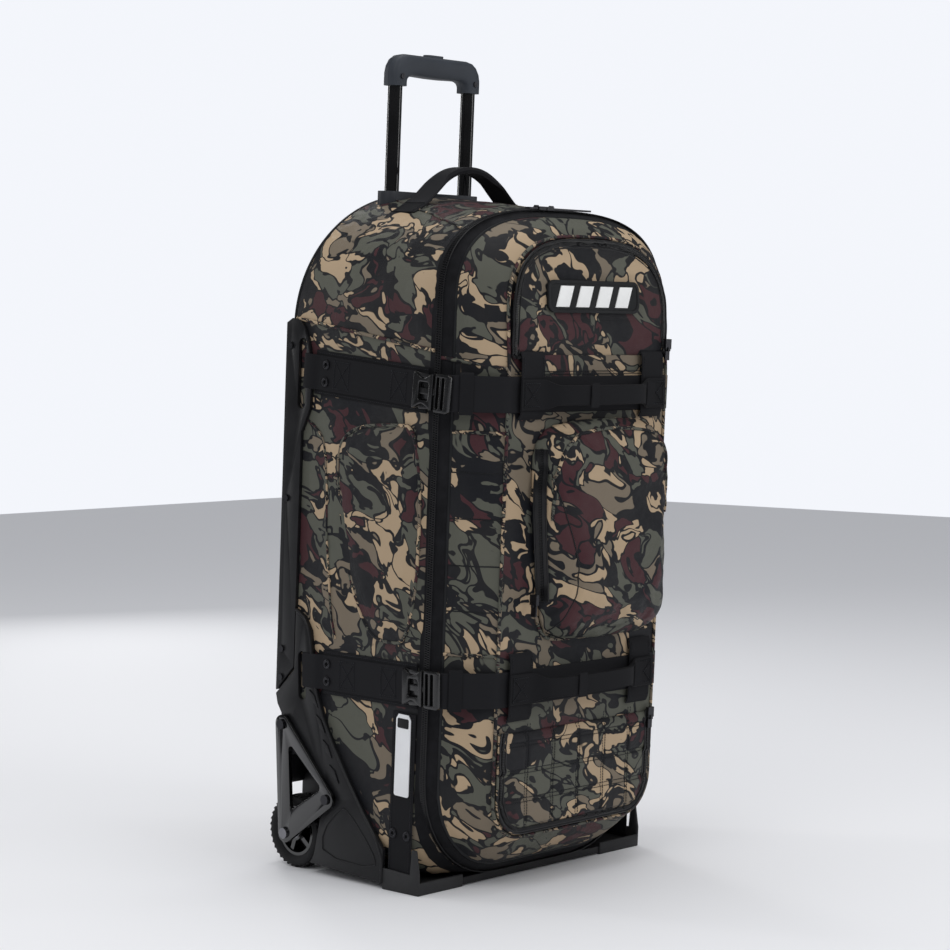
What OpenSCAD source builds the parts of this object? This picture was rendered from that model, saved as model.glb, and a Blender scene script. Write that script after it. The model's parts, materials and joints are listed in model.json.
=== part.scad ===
// Wheeled duffel bag that stands on its end: a soft bag in a moulded sled,
// with a telescopic handle, two wheels and a zipped, hinged front lid.
// Millimetres, +Z up, the front faces -Y and the lid hinges on the +X side.

/* [Stance] */
// Forward lean of the bag on its feet and wheels, degrees
lean = 3; // [1:0.5:4]

/* [Bag] */
// Width across the side walls
bag_w = 410; // [400:2:416]
// Distance from the zip plane back to the rear face
back_y = 184.5; // [180:0.5:184.5]
// Height of the crown at the rear
back_top = 865; // [855:1:875]
// Height of the crown at the zip plane
zip_top = 845; // [838:1:850]
// Thickness of the padded walls
wall = 4; // [3:0.5:5]

/* [Lid] */
// Width of the flat front panel
lid_w = 296; // [286:2:304]
// Height of the front panel's crown
lid_top = 815; // [805:1:820]
// Distance of the front panel in front of the rail datum
lid_front_y = -140; // [-144:1:-134]
// Depth of the bulging pocket
pocket_depth = 42; // [30:1:48]

/* [Sled] */
// Thickness of the side rails and side plates
rail_t = 5; // [4:0.5:5]
// Wheel radius
wheel_r = 47; // [44:0.5:48]
// Wheel width
wheel_w = 33; // [28:1:34]
// Wheel axle position behind the datum, on the level floor
axle_y = 156; // [154:1:158]
// Axle radius
axle_r = 4; // [3.5:0.25:4.5]

/* [Handle] */
// Half the distance between the two tubes
tube_x = 68; // [64:1:70]
// Radius of the sliding tubes
tube_r = 9.5; // [8.5:0.25:10]
// Height of the grip's collars above the datum
grip_z = 1003; // [980:1:1010]

/* [Straps] */
// Width of the strap webbing
strap_w = 44; // [38:1:46]
// Height of the upper strap on the rail
upper_z = 635; // [630:1:638]
// Height of the lower strap on the side plate
lower_z = 254; // [250:1:258]

/* [Hidden] */

// Colours of the finishes
camo = [0.42, 0.39, 0.32];
black_fabric = [0.07, 0.07, 0.08];
matte_plastic = [0.13, 0.13, 0.14];
gloss_plastic = [0.03, 0.03, 0.03];
grip_grey = [0.22, 0.23, 0.25];
metal = [0.55, 0.55, 0.57];
white_plastic = [0.92, 0.92, 0.92];

// Planes and edges that several pieces share
half_w = bag_w / 2;
zip_y = -75;              // plane in which the main zip runs
gap = 0.3;                // clearance between separate pieces
floor_z = 17;             // underside of the bag's floor
lid_bottom = 75;          // lowest point of the front panel
facet_z = 650;            // height at which the front panel starts to lean back
facet_tilt = 4.5;         // lean of the front panel above that height
rail_in = half_w + 0.4;   // inner face of the rails
rail_out = rail_in + rail_t;
rail_rear_y = 190;        // rear face of the rails
upper_slope = 3.3;        // fall of the upper strap towards the front
lower_slope = -2;         // rise of the lower strap towards the front
pivot_y = 150;            // where the straps' slopes are measured from
upper_lid_z = 622;        // height of the upper strap on the lid
lower_lid_z = 262;        // height of the lower strap on the lid
tube_y = 154;             // plane of the telescopic handle
bezel_top = 867;
grip_top = grip_z + 41.5;
far = 2000;               // longer than anything in the bag

// The axle in the bag's leaned frame
wheel_y = axle_y * cos(lean) + wheel_r * sin(lean);
wheel_z = wheel_r * cos(lean) - axle_y * sin(lean);
wheel_x = half_w - 20;    // middle of the wheel's width
well_x = wheel_x - wheel_w / 2 - 5.5; // inner wall of the wheel well
bolt_top = [170, 179];    // the wheel bracket's upper bolt, y and z
bolt_front = [83, 96];    // the wheel bracket's front bolt, y and z

// ---- Helpers ---------------------------------------------------------------

module leaned() { rotate([lean, 0, 0]) children(); }

// Place a part drawn for the +X side on side s, -1 for left or +1 for right
module on_side(s) { mirror([s < 0 ? 1 : 0, 0, 0]) children(); }

// Extrude an x-z profile from y back towards -Y by t
module slab(y, t) { translate([0, y, 0]) rotate([90, 0, 0]) linear_extrude(t) children(); }

// Extrude a y-z profile from x0 to x1
module along_x(x0, x1) {
    translate([x0, 0, 0]) rotate([90, 0, 90]) linear_extrude(x1 - x0) children();
}

module box(low, high) { translate(low) cube(high - low); }

// A part of a strap: drawn with its middle at z = 0 and turned to the strap's slope
module on_strap(z, slope) {
    translate([0, pivot_y, z]) rotate([slope, 0, 0]) translate([0, -pivot_y, 0]) children();
}

// Superellipse arch of half-width a from z0 to z1, then round lower corners
function arch(a, z0, z1, n, steps) = [for (i = [0 : steps]) let (t = 180 - 180 * i / steps)
    [a * sign(cos(t)) * pow(abs(cos(t)), 2 / n), z0 + (z1 - z0) * pow(max(0, sin(t)), 2 / n)]];
function corner(cx, cz, r, from, steps) = [for (i = [0 : steps]) let (t = from - 90 * i / steps)
    [cx + r * cos(t), cz + r * sin(t)]];
function outline(a, z0, z1, n, zb, r) = concat(arch(a, z0, z1, n, 26),
    corner(a - r, zb + r, r, 0, 6), corner(r - a, zb + r, r, -90, 6));

// Ribbon of thickness t along a path, with mitred corners
function unit(v) = v / norm(v);
function offset_at(p, i) = let (a = i > 0 ? unit(p[i] - p[i - 1]) : unit(p[i + 1] - p[i]),
    b = i < len(p) - 1 ? unit(p[i + 1] - p[i]) : a, m = unit(a + b)) [-m[1], m[0]] / (m * a);
function ribbon(p, t) = concat([for (i = [0 : len(p) - 1]) p[i] + offset_at(p, i) * t / 2],
    [for (i = [len(p) - 1 : -1 : 0]) p[i] - offset_at(p, i) * t / 2]);
module strip(p, t, w) { linear_extrude(w, center = true) polygon(ribbon(p, t)); }

// The bag behind the zip, grown by d on every side
module back_outline(d) { polygon(outline(half_w + d, 690, back_top + d, 2, floor_z - d, 40 + d)); }
module belly_outline(d) { polygon(outline(half_w + d, 715, zip_top + 3 + d, 2.5, floor_z - d, 60 + d)); }
module zip_outline(d) { polygon(outline(half_w - 2 + d, 725, zip_top + d, 2.8, floor_z - d, 130 + d)); }
module bag_solid(d, front, rear) {
    hull() {
        slab(rear, 0.02) back_outline(d);
        slab(zip_y + 25, 0.02) belly_outline(d);
        slab(front + 0.02, 0.02) zip_outline(d);
    }
}

// The lid, grown by d on every side, from the zip to the two-facet front
module front_outline(d) {
    polygon(outline(lid_w / 2 + d, 700, lid_top + d, 3, lid_bottom - d, 50 + d));
}
module lid_solid(d, rear) {
    hull() {
        slab(rear, 0.02) zip_outline(d);
        slab(lid_front_y - d + 0.02, 0.02) intersection() {
            front_outline(d);
            translate([-far / 2, 0]) square([far, facet_z]);
        }
        translate([0, lid_front_y - d, facet_z]) rotate([-facet_tilt, 0, 0])
            translate([0, 0, -facet_z]) slab(0.02, 0.02) intersection() {
                front_outline(d);
                translate([-far / 2, facet_z]) square([far, far]);
            }
    }
}
// Layer on the lid's front, between near and far offsets
module front_layer(near, away) {
    difference() {
        translate([0, -away, 0]) lid_solid(0, zip_y);
        translate([0, -near, 0]) lid_solid(0, zip_y + far);
    }
}

// Room for the wheel in the bag's lower rear corner, grown by d
module well_profile(d) {
    hull() {
        translate([wheel_y, wheel_z]) circle(wheel_r + 6 + d, $fn = 48);
        translate([150, 133]) circle(10 + d, $fn = 24);
        translate([104, 98]) circle(10 + d, $fn = 24);
    }
}
module well_solid(d, s) { on_side(s) along_x(well_x - d, half_w + 20) well_profile(d); }
module wells(d) { for (s = [-1, 1]) well_solid(d, s); }

// Everything above the seam that slopes down to the front
module above_seam(lift) {
    translate([0, zip_y, 671 + lift]) rotate([6.6, 0, 0])
        translate([-far / 2, -far / 2, 0]) cube([far, far, far]);
}

// ---- Bag ---------------------------------------------------------------------

module back_panel() {
    color(camo) leaned() difference() {
        slab(back_y, wall) back_outline(0);
        wells(3 + gap);
    }
}

module gusset_ring() {
    difference() {
        bag_solid(0, zip_y, back_y - wall - 0.2);
        bag_solid(-wall, zip_y - 1, back_y);
        wells(3 + gap);
    }
}

module top_yoke() {
    color(camo) leaned() difference() {
        intersection() { gusset_ring(); above_seam(0.1); }
        bezel_block(gap);
    }
}

module floor_zone(half) { box([-half, -far, -far], [half, far, 100]); }

module side_wall(s) {
    color(camo) leaned() difference() {
        intersection() {
            gusset_ring();
            on_side(s) box([0, -far, -far], [far, far, far]);
        }
        above_seam(-0.1);
        floor_zone(130.2);
    }
}

module side_wall_left() { side_wall(-1); }
module side_wall_right() { side_wall(1); }

module bottom_wall() {
    color(black_fabric) leaned() intersection() { gusset_ring(); floor_zone(130); }
}

// Fabric tunnel that keeps the load off the handle tubes
cover_rear = back_y - wall - 0.5;
module tube_cover() {
    color(black_fabric) leaned() translate([0, 0, 26]) linear_extrude(810)
        polygon(ribbon([[-94, cover_rear], [-94, 139], [94, 139], [94, cover_rear]], 2.5));
}

// Stiffened pads on the side walls, flat towards the zip and round behind
pad_outline = [[-60, 582], [-1, 581], [52, 575], [78, 561], [90, 539], [84, 477], [69, 403],
    [50, 355], [27, 318], [3, 304], [-60, 309]];
module side_pads() {
    color(camo) leaned() for (s = [-1, 1]) on_side(s)
        along_x(half_w + gap, half_w + 3.7) polygon(pad_outline);
}

module side_bands() {
    color(black_fabric) leaned() for (s = [-1, 1]) {
        on_strap(upper_z, upper_slope) on_side(s)
            box([half_w + 0.2, zip_y + 13, -28], [half_w + 1.6, 140, 28]);
        on_strap(lower_z, lower_slope) on_side(s)
            box([half_w + 0.2, zip_y + 13, -28], [half_w + 1.6, 112, 28]);
    }
}

// Tape of the main zip on the bag: top, left and bottom, with the hinge side left open
module tape_zone(y0, y1) {
    difference() {
        box([-far, y0, -far], [far, y1, far]);
        box([150, y0 - 1, 100], [far, y1 + 1, 720]);
    }
}
module zip_tape_body() {
    color(black_fabric) leaned() intersection() {
        difference() {
            bag_solid(1.2, zip_y, back_y);
            bag_solid(0.15, zip_y - 1, back_y);
        }
        tape_zone(zip_y, zip_y + 12);
    }
}

// ---- Sled --------------------------------------------------------------------

// Moulded tray under the bag with both wheel wells in one piece
module base_tray() {
    color(matte_plastic) leaned() difference() {
        union() {
            box([-half_w, -78, 6], [half_w, 186, 15]);
            for (s = [-1, 1]) intersection() {
                well_solid(3, s);
                box([-half_w, -far, 6], [half_w, 185, far]);
            }
        }
        for (s = [-1, 1]) {
            well_solid(0, s);
            on_side(s) axle_hole(axle_r + 0.2);
        }
        for (s = [-1, 1]) on_side(s) box([130.7, -far, -far], [far, -16, far]);
    }
}

module axle_hole(r) {
    translate([well_x - 10, wheel_y, wheel_z]) rotate([0, 90, 0]) cylinder(h = 80, r = r, $fn = 48);
}
module bolt_hole(at, r) {
    translate([half_w - 5, at[0], at[1]]) rotate([0, 90, 0]) cylinder(h = 30, r = r, $fn = 32);
}

// Slot for a strap between two end points, y and z
module slot(a, b, r) {
    hull() for (p = [a, b]) translate(p) circle(r, $fn = 32);
}

plate_outline = [[-16, 8], [-16, 50], [32, 104], [91, 183], [114, 231], [122, 270], [128, 305],
    [140, 322], [156.5, 330], [156.5, 251], [189.7, 216], [186, 203], [178, 192], [174, 96], [174, 8]];
module side_plate(s) {
    color(matte_plastic) leaned() on_side(s) difference() {
        along_x(rail_in, rail_out) difference() {
            polygon(plate_outline);
            well_profile(0);
            slot([143, 270], [140, 222], 7);
        }
        bolt_hole(bolt_top, 3.2);
        bolt_hole(bolt_front, 3.2);
    }
}
module side_plate_left() { side_plate(-1); }
module side_plate_right() { side_plate(1); }

rail_outline = [[158, 255], [158, 556], [151, 570], [143, 588], [142, 612], [144, 650],
    [150, 675], [158, 690], [167, 698], [180, 700], [190, 694], [190, 220.5]];
screw_heights = [665, 470, 275, 238];
screw_y = 181;
module rail(s) {
    color(matte_plastic) leaned() on_side(s) difference() {
        union() {
            along_x(rail_in, rail_out) polygon(rail_outline);
            box([172, rail_rear_y - rail_t, 222], [rail_out, rail_rear_y, 694]);
        }
        along_x(rail_in - 1, rail_out + 1) slot([159, 593], [159, 669], 7);
        for (z = screw_heights) bolt_hole([screw_y, z], 2.2);
    }
}
module rail_left() { rail(-1); }
module rail_right() { rail(1); }

module rail_screws() {
    color(metal) leaned() for (s = [-1, 1], z = screw_heights) on_side(s)
        translate([rail_in + 0.5, screw_y, z]) rotate([0, 90, 0]) {
            cylinder(h = rail_t - 0.4, r = 2.1, $fn = 32);
            translate([0, 0, rail_t - 0.45]) cylinder(h = 2, r = 4.2, $fn = 32);
        }
}

// Corner foot with an arm in front of the webbing, flat on the floor
module foot(s) {
    color(grip_grey) intersection() {
        leaned() on_side(s) difference() {
            union() {
                box([131, -78, -20], [rail_out, -16.3, 12]);
                box([131, -80, 2], [rail_out, -76, 20]);
                box([half_w + 2.4, -80, 0], [rail_out, -16.3, 28]);
                hull() {
                    box([half_w + 2.4, -80, 0], [rail_out, -64, 30]);
                    box([half_w + 2.4, -74, 55], [rail_out, -66, 60]);
                }
            }
            box([half_w + 0.2, -63, 12], [half_w + 2.4, -20, far]);
        }
        box([-far, -far, 0], [far, far, far]);
    }
}
module foot_left() { foot(-1); }
module foot_right() { foot(1); }

// Three-armed bracket that carries the axle's outer end
module wheel_bracket(s) {
    bolts = [bolt_top, bolt_front, [wheel_y, wheel_z]];
    color(gloss_plastic) leaned() on_side(s) difference() {
        along_x(rail_out + gap, rail_out + gap + 6) difference() {
            hull() for (b = bolts) translate(b) circle(12, $fn = 48);
            hull() for (p = [[151, 148], [100, 109], [145, 78]]) translate(p) circle(5, $fn = 24);
        }
        bolt_hole(bolt_top, 3.2);
        bolt_hole(bolt_front, 3.2);
        axle_hole(axle_r + 0.2);
    }
}
module wheel_bracket_left() { wheel_bracket(-1); }
module wheel_bracket_right() { wheel_bracket(1); }

module bracket_bolts() {
    color(metal) leaned() for (s = [-1, 1], at = [bolt_top, bolt_front]) on_side(s)
        translate([rail_in + 0.5, at[0], at[1]]) rotate([0, 90, 0]) {
            cylinder(h = rail_t + 6, r = 3, $fn = 32);
            translate([0, 0, rail_t + 6]) cylinder(h = 3, r = 6.5, $fn = 32);
        }
}

module wheel_axles() {
    color(metal) leaned() for (s = [-1, 1]) on_side(s)
        translate([well_x - 6, wheel_y, wheel_z]) rotate([0, 90, 0]) {
            cylinder(h = rail_out + gap + 6.3 - well_x + 6, r = axle_r, $fn = 64);
            translate([0, 0, rail_out + gap + 6.2 - well_x + 6]) cylinder(h = 3, r = 7, $fn = 32);
            translate([0, 0, -1]) cylinder(h = 3.6, r = 7, $fn = 32);
        }
}

// ---- Wheels --------------------------------------------------------------------

rim_r = 32;
hub_r = 12;
race_r = 9;
module at_wheel(s) {
    leaned() on_side(s) translate([wheel_x, wheel_y, wheel_z]) rotate([0, 90, 0]) children();
}
module tyre(s) {
    w = wheel_w / 2;
    color(black_fabric) at_wheel(s) rotate_extrude($fn = 96) polygon([[rim_r + 0.05, -w + 4],
        [rim_r + 5, -w], [wheel_r - 5, -w], [wheel_r - 1.5, -w + 3], [wheel_r, -w + 9],
        [wheel_r, w - 9], [wheel_r - 1.5, w - 3], [wheel_r - 5, w], [rim_r + 5, w],
        [rim_r + 0.05, w - 4]]);
}
module rim(s) {
    w = wheel_w - 9;
    color(gloss_plastic) at_wheel(s) difference() {
        union() {
            difference() {
                cylinder(h = w, r = rim_r, center = true, $fn = 96);
                cylinder(h = w + 1, r = rim_r - 4, center = true, $fn = 96);
            }
            cylinder(h = wheel_w - 6, r = hub_r, center = true, $fn = 64);
            for (i = [0 : 4]) rotate([0, 0, 72 * i + 18])
                translate([hub_r - 2, -3, -w / 2 + 2]) cube([rim_r - hub_r - 1, 6, w - 4]);
        }
        cylinder(h = far, r = race_r + 0.02, center = true, $fn = 64);
    }
}
module bearings(s) {
    w = wheel_w / 2 - 3;
    color(metal) at_wheel(s) for (z = [-w, w - 7]) translate([0, 0, z]) difference() {
        cylinder(h = 7, r = race_r, $fn = 64);
        translate([0, 0, -1]) cylinder(h = 9, r = axle_r + 0.05, $fn = 64);
    }
}
module tyre_left() { tyre(-1); }
module rim_left() { rim(-1); }
module bearings_left() { bearings(-1); }
module tyre_right() { tyre(1); }
module rim_right() { rim(1); }
module bearings_right() { bearings(1); }

// ---- Telescopic handle -----------------------------------------------------------

bezel_z = 844;       // underside of the bezel
outer_bore_r = tube_r + 0.9;
rod_r = 3;
plug_z = 735;        // lower end of the sliding tubes' plugs

module at_tubes(z) {
    leaned() for (x = [-tube_x, tube_x]) translate([x, tube_y, z]) children();
}

module outer_tubes() {
    color(gloss_plastic) at_tubes(30) difference() {
        cylinder(h = bezel_z - 30.2, r = outer_bore_r + 1.4, $fn = 64);
        translate([0, 0, 4]) cylinder(h = far, r = outer_bore_r, $fn = 64);
    }
}

module bezel_block(d) {
    hull() for (x = [-72, 72]) translate([x, tube_y, bezel_z - d])
        cylinder(h = bezel_top - bezel_z + 2 * d, r = 15 + d, $fn = 48);
}
module handle_bezel() {
    color(grip_grey) leaned() difference() {
        bezel_block(0);
        for (x = [-tube_x, tube_x]) translate([x, tube_y, bezel_z - 1])
            cylinder(h = far, r = tube_r + 0.08, $fn = 64);
    }
}

module inner_tubes() {
    color(gloss_plastic) difference() {
        at_tubes(plug_z + 12) difference() {
            cylinder(h = grip_z + 18 - plug_z - 12, r = tube_r, $fn = 64);
            translate([0, 0, -1]) cylinder(h = far, r = tube_r - 1.5, $fn = 64);
        }
        leaned() grip_screw_holes();
    }
}

// Guide plugs that carry the lock pins and run in the outer tubes
module tube_plugs() {
    color(white_plastic) at_tubes(plug_z) difference() {
        union() {
            cylinder(h = 11.8, r = outer_bore_r - 0.08, $fn = 64);
            cylinder(h = 30, r = tube_r - 1.6, $fn = 64);
        }
        translate([0, 0, -1]) cylinder(h = far, r = rod_r + 1, $fn = 32);
    }
}

grip_half = tube_x + 13;
grip_depth = 13;      // half of the grip's depth
grip_leg = [[grip_half, 0], [tube_x - 13, 0], [tube_x - 13.5, 6], [tube_x - 17, 11.5],
    [tube_x - 23, 14]];
grip_corner = [[60, 41.5], [71, 38], [78, 31], [grip_half, 21]];
function mirrored(points) = [for (i = [len(points) - 1:-1:0]) [-points[i].x, points[i].y]];
grip_outline = concat(grip_corner, grip_leg, mirrored(grip_leg), mirrored(grip_corner));
module grip_shell(y0, y1) {
    color(grip_grey) leaned() difference() {
        translate([0, 0, grip_z]) slab(y1, y1 - y0) polygon(grip_outline);
        for (x = [-tube_x, tube_x]) translate([x, tube_y, grip_z - 1])
            cylinder(h = 24, r = tube_r + 0.1, $fn = 64);
        box([-bar_half - 2, tube_y - 5, grip_z + 19.5], [bar_half + 2, tube_y + 5, grip_z + 31.5]);
        button_solid(0.4, grip_z + 24, far);
        grip_screw_holes();
    }
}
module grip_front_shell() { grip_shell(tube_y - grip_depth, tube_y - 0.1); }
module grip_rear_shell() { grip_shell(tube_y + 0.1, tube_y + grip_depth); }

// One screw through the front of each collar into its tube
module at_grip_screws() {
    for (x = [-tube_x, tube_x]) translate([x, tube_y - grip_depth - 1.8, grip_z + 12])
        rotate([-90, 0, 0]) children();
}
module grip_screw_holes() { at_grip_screws() cylinder(h = grip_depth, r = 1.7, $fn = 32); }
module grip_screws() {
    color(metal) leaned() at_grip_screws() {
        cylinder(h = 10, r = 1.6, $fn = 32);
        cylinder(h = 1.8, r = 3.4, $fn = 32);
    }
}

bar_half = tube_x + 4;   // half length of the bar that joins the button to both rods

// Oval button grown by d, from z0 to z1
module button_solid(d, z0, z1) {
    hull() for (x = [-9, 9]) translate([x, tube_y, z0]) cylinder(h = z1 - z0, r = 7 + d, $fn = 32);
}
module release_button() {
    color(grip_grey) leaned() union() {
        button_solid(0, grip_z + 28, grip_top + 2.5);
        box([-bar_half, tube_y - 4, grip_z + 25], [bar_half, tube_y + 4, grip_z + 30]);
    }
}
module release_rods() {
    color(metal) at_tubes(plug_z + 40)
        cylinder(h = grip_z + 24.8 - plug_z - 40, r = rod_r, $fn = 32);
}

// ---- Straps and webbing --------------------------------------------------------------

// Strap from a slot, round the bar in front of it and along the side wall to y_end
module side_strap(slot_y, bar_w, y_end) {
    x = half_w + 3;
    strip([[half_w + 0.6, slot_y], [rail_out + 1.4, slot_y], [rail_out + 1.4, slot_y - bar_w],
        [x, slot_y - bar_w - 9], [x, y_end]], 2, strap_w);
}
buckle_y = -44;      // rear edge of the buckle sockets

module strap_upper_left() {
    color(black_fabric) leaned() on_strap(upper_z, upper_slope) on_side(-1)
        side_strap(155, 14.6, buckle_y + gap);
}
module strap_lower_left() {
    color(black_fabric) leaned() on_strap(lower_z, lower_slope) on_side(-1)
        side_strap(140.5, 26.6, buckle_y + gap);
}
module straps_right() {
    color(black_fabric) leaned() {
        on_strap(upper_z, upper_slope) side_strap(155, 14.6, zip_y + 9);
        on_strap(lower_z, lower_slope) side_strap(140.5, 26.6, zip_y + 9);
    }
}

// Female half of a side-release buckle, open towards the front
socket_len = 36;
module buckle_socket() {
    on_side(-1) difference() {
        hull() {
            box([half_w + 2.3, buckle_y - socket_len, -22], [half_w + 12, buckle_y, 22]);
            box([half_w + 12, buckle_y - socket_len, -19], [half_w + 14.4, buckle_y - 3, 19]);
        }
        box([half_w + 4.2, buckle_y - socket_len - 1, -19.5], [half_w + 12.4, buckle_y - 4, 19.5]);
        for (z = [-22, 22]) translate([half_w, buckle_y - 13, z]) rotate([0, 90, 0])
            cylinder(h = 20, r = 7, $fn = 32);
    }
}
module buckle_sockets() {
    color(gloss_plastic) leaned() {
        on_strap(upper_z, upper_slope) buckle_socket();
        on_strap(lower_z, lower_slope) buckle_socket();
    }
}

// Male half: three prongs and a ladder lock for the strap
module buckle_prong() {
    y = buckle_y - socket_len - 2;
    on_side(-1) {
        difference() {
            box([half_w + 4, y - 24, -22], [half_w + 11, y, 22]);
            for (d = [4, 14]) box([half_w + 3, y - d - 6, -19], [half_w + 12, y - d, 19]);
        }
        for (z = [-12.5, 0, 12.5])
            box([half_w + 6, y, z - 3], [half_w + 10.6, y + 28, z + 3]);
    }
}
module buckle_prongs() {
    color(gloss_plastic) leaned() {
        on_strap(upper_z, upper_slope) buckle_prong();
        on_strap(lower_z, lower_slope) buckle_prong();
    }
}

// Webbing on each lower side, tucked behind the foot
webbing_y = [-62, -22];
module side_webbings() {
    color(black_fabric) leaned() for (s = [-1, 1]) on_side(s)
        box([half_w + 0.4, webbing_y[0], 14], [half_w + 2, webbing_y[1], 226]);
}
module id_tag() {
    color(white_plastic) leaned() on_side(-1)
        box([half_w + 2.2, -55, 122], [half_w + 3.2, -30, 224]);
}

module strap_rivets() {
    color(metal) leaned() for (s = [-1, 1]) {
        on_strap(upper_z, upper_slope) for (z = [-11, 11]) on_side(s) rivet(half_w + 4.2, 116, z);
        on_strap(lower_z, lower_slope) for (z = [-11, 11]) on_side(s) rivet(half_w + 4.2, 96, z);
        for (y = [-54, -30]) on_side(s) rivet(half_w + 2.2, y, 74);
    }
}
module rivet(x, y, z) {
    translate([x, y, z]) rotate([0, 90, 0]) difference() {
        cylinder(h = 1.4, r = 6, $fn = 32);
        translate([0, 0, -1]) cylinder(h = 4, r = 2.4, $fn = 32);
    }
}

carry_path = [[-87, 851.5], [-75, 856], [-60, 871], [-40, 889], [-15, 899], [15, 899], [40, 889],
    [60, 871], [75, 856], [87, 851.5]];
module carry_handle() {
    color(black_fabric) leaned() translate([0, 88, 0]) rotate([90, 0, 0]) strip(carry_path, 3, 36);
}

// ---- Lid ---------------------------------------------------------------------------

module lid_shell() {
    difference() {
        lid_solid(0, zip_y - gap);
        translate([0, 0.01, 0]) lid_solid(-wall, zip_y + 1);
    }
}
module lid_gusset() {
    color(camo) leaned() difference() {
        lid_shell();
        slab(far, 2 * far) front_outline(0.1);
    }
}
module lid_front() {
    color(camo) leaned() intersection() {
        lid_shell();
        slab(far, 2 * far) front_outline(-0.1);
    }
}
module zip_tape_lid() {
    color(black_fabric) leaned() intersection() {
        difference() {
            lid_solid(1.2, zip_y - gap);
            lid_solid(0.15, zip_y - gap);
        }
        tape_zone(zip_y - 13, zip_y - gap - 0.1);
    }
}

module top_pocket() {
    color(camo) leaned() intersection() {
        front_layer(gap, 6);
        slab(0, far) intersection() {
            front_outline(-3);
            translate([-far / 2, facet_z + 4]) square([far, far]);
        }
    }
}
module lower_pocket() {
    color(camo) leaned() intersection() {
        front_layer(gap, 6);
        slab(0, far) intersection() {
            front_outline(-5);
            translate([-far / 2, 0]) square([far, 226]);
        }
    }
}

// Bulging pocket: a dish whose mouth lies on the lid
module pocket_outline(x0, x1, z0, z1, r) {
    hull() for (x = [x0 + r, x1 - r], z = [z0 + r, z1 - r]) translate([x, z]) circle(r, $fn = 32);
}
module pocket_solid(d) {
    base_y = lid_front_y - gap;
    hull() {
        slab(base_y + max(0, d), 0.02) pocket_outline(-106 + d, 136 - d, 318 + d, 588 - d, 60 - d);
        slab(base_y - pocket_depth + d, 0.02)
            pocket_outline(-84 + d, 126 - d, 340 + d, 576 - d, 55 - d);
    }
}
module big_pocket() {
    color(camo) leaned() difference() { pocket_solid(0); pocket_solid(3); }
}

module badge() {
    color(black_fabric) leaned() intersection() {
        front_layer(6 + gap, 10);
        slab(0, far) pocket_outline(-86, 86, 721, 761, 10);
    }
}

// Haul handle: two risers over the strap and a grip that stands off them
module haul_handle(z, low, high) {
    y = lid_front_y - 6 - gap;
    for (s = [-1, 1]) on_side(s) box([92, y - 2, low], [134, y, high]);
    translate([0, 0, z]) strip([[-134, y - 3.8], [-100, y - 5], [-78, y - 20], [-30, y - 25],
        [30, y - 25], [78, y - 20], [100, y - 5], [134, y - 3.8]], 3, 36);
}
module haul_handle_upper() {
    color(black_fabric) leaned() haul_handle(upper_lid_z, 592, 674);
}
module haul_handle_lower() {
    color(black_fabric) leaned() haul_handle(lower_lid_z, 222, 306);
}

// Straps on the lid, from the ladder locks round the front to the hinge
module lid_straps() {
    y = lid_front_y - 3.3;
    color(black_fabric) leaned() for (z = [upper_lid_z, lower_lid_z]) translate([0, 0, z])
        strip([[-half_w - 2.4, -90], [-half_w - 2.4, -104], [-lid_w / 2 - 3, y],
            [lid_w / 2 + 3, y], [half_w + 1, -79]], 2, strap_w);
}

// ---- Zip sliders --------------------------------------------------------------------

// Slider body with a pull tab that lies flat beside it, along +x
module slider(tab) {
    box([-6.5, -5.5, 0], [6.5, 5.5, 4.5]);
    box([6.7, -4, 1], [6.7 + tab, 4, 3.2]);
    box([4, -2, 3], [9, 2, 6]);
}
slider_z = zip_top + 2;
module zip_slider_left() {
    color(metal) leaned() translate([-33, zip_y, slider_z]) mirror([1, 0, 0]) slider(16);
}
// The right slider carries a long webbing pull
module zip_slider_right() {
    color(metal) leaned() translate([-18.5, zip_y, slider_z]) slider(72);
}
// Slider on the front panel, drawn upright at x and z with its back on the plane y
module front_slider(x, y, z) {
    translate([x, y, z]) rotate([90, 90, 0]) slider(14);
}
module top_pocket_slider() {
    color(metal) leaned() front_slider(140, lid_front_y - 6.5, 684);
}
module big_pocket_slider() {
    color(metal) leaned() translate([-102, -156, 372]) rotate([0, -90, 0]) mirror([1, 0, 0])
        slider(14);
}
module lower_pocket_slider() {
    color(metal) leaned() front_slider(138, lid_front_y - 6.5, 206);
}

back_panel();
top_yoke();
side_wall_left();
side_wall_right();
bottom_wall();
tube_cover();
base_tray();
side_plate_left();
side_plate_right();
rail_left();
rail_right();
foot_left();
foot_right();
wheel_bracket_left();
wheel_bracket_right();
wheel_axles();
bracket_bolts();
rail_screws();
outer_tubes();
handle_bezel();
side_pads();
zip_tape_body();
side_bands();
strap_upper_left();
strap_lower_left();
straps_right();
buckle_sockets();
side_webbings();
strap_rivets();
id_tag();
carry_handle();
inner_tubes();
grip_front_shell();
grip_rear_shell();
grip_screws();
tube_plugs();
release_button();
release_rods();
tyre_left();
rim_left();
bearings_left();
tyre_right();
rim_right();
bearings_right();
lid_gusset();
lid_front();
zip_tape_lid();
top_pocket();
big_pocket();
lower_pocket();
badge();
haul_handle_upper();
haul_handle_lower();
lid_straps();
buckle_prongs();
zip_slider_left();
zip_slider_right();
top_pocket_slider();
big_pocket_slider();
lower_pocket_slider();
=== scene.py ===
# %% [markdown]
# # A tall rolling duffel bag
# A soft bag of printed polyester stands in a moulded sled with two wheels, and a telescopic
# handle runs up its back. The hard parts come from the imported model as they are. This lesson
# sews the soft parts around them: shells lofted from a few outlines, pads and pockets swelled
# by a cloth simulation, webbing swept along paths, and zips, stitches, eyelets and tread
# repeated by Geometry Nodes.
# %% The frame
import bpy
import bmesh
import json
import math
from mathutils import Matrix, Vector, noise
from mathutils.bvhtree import BVHTree


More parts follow.
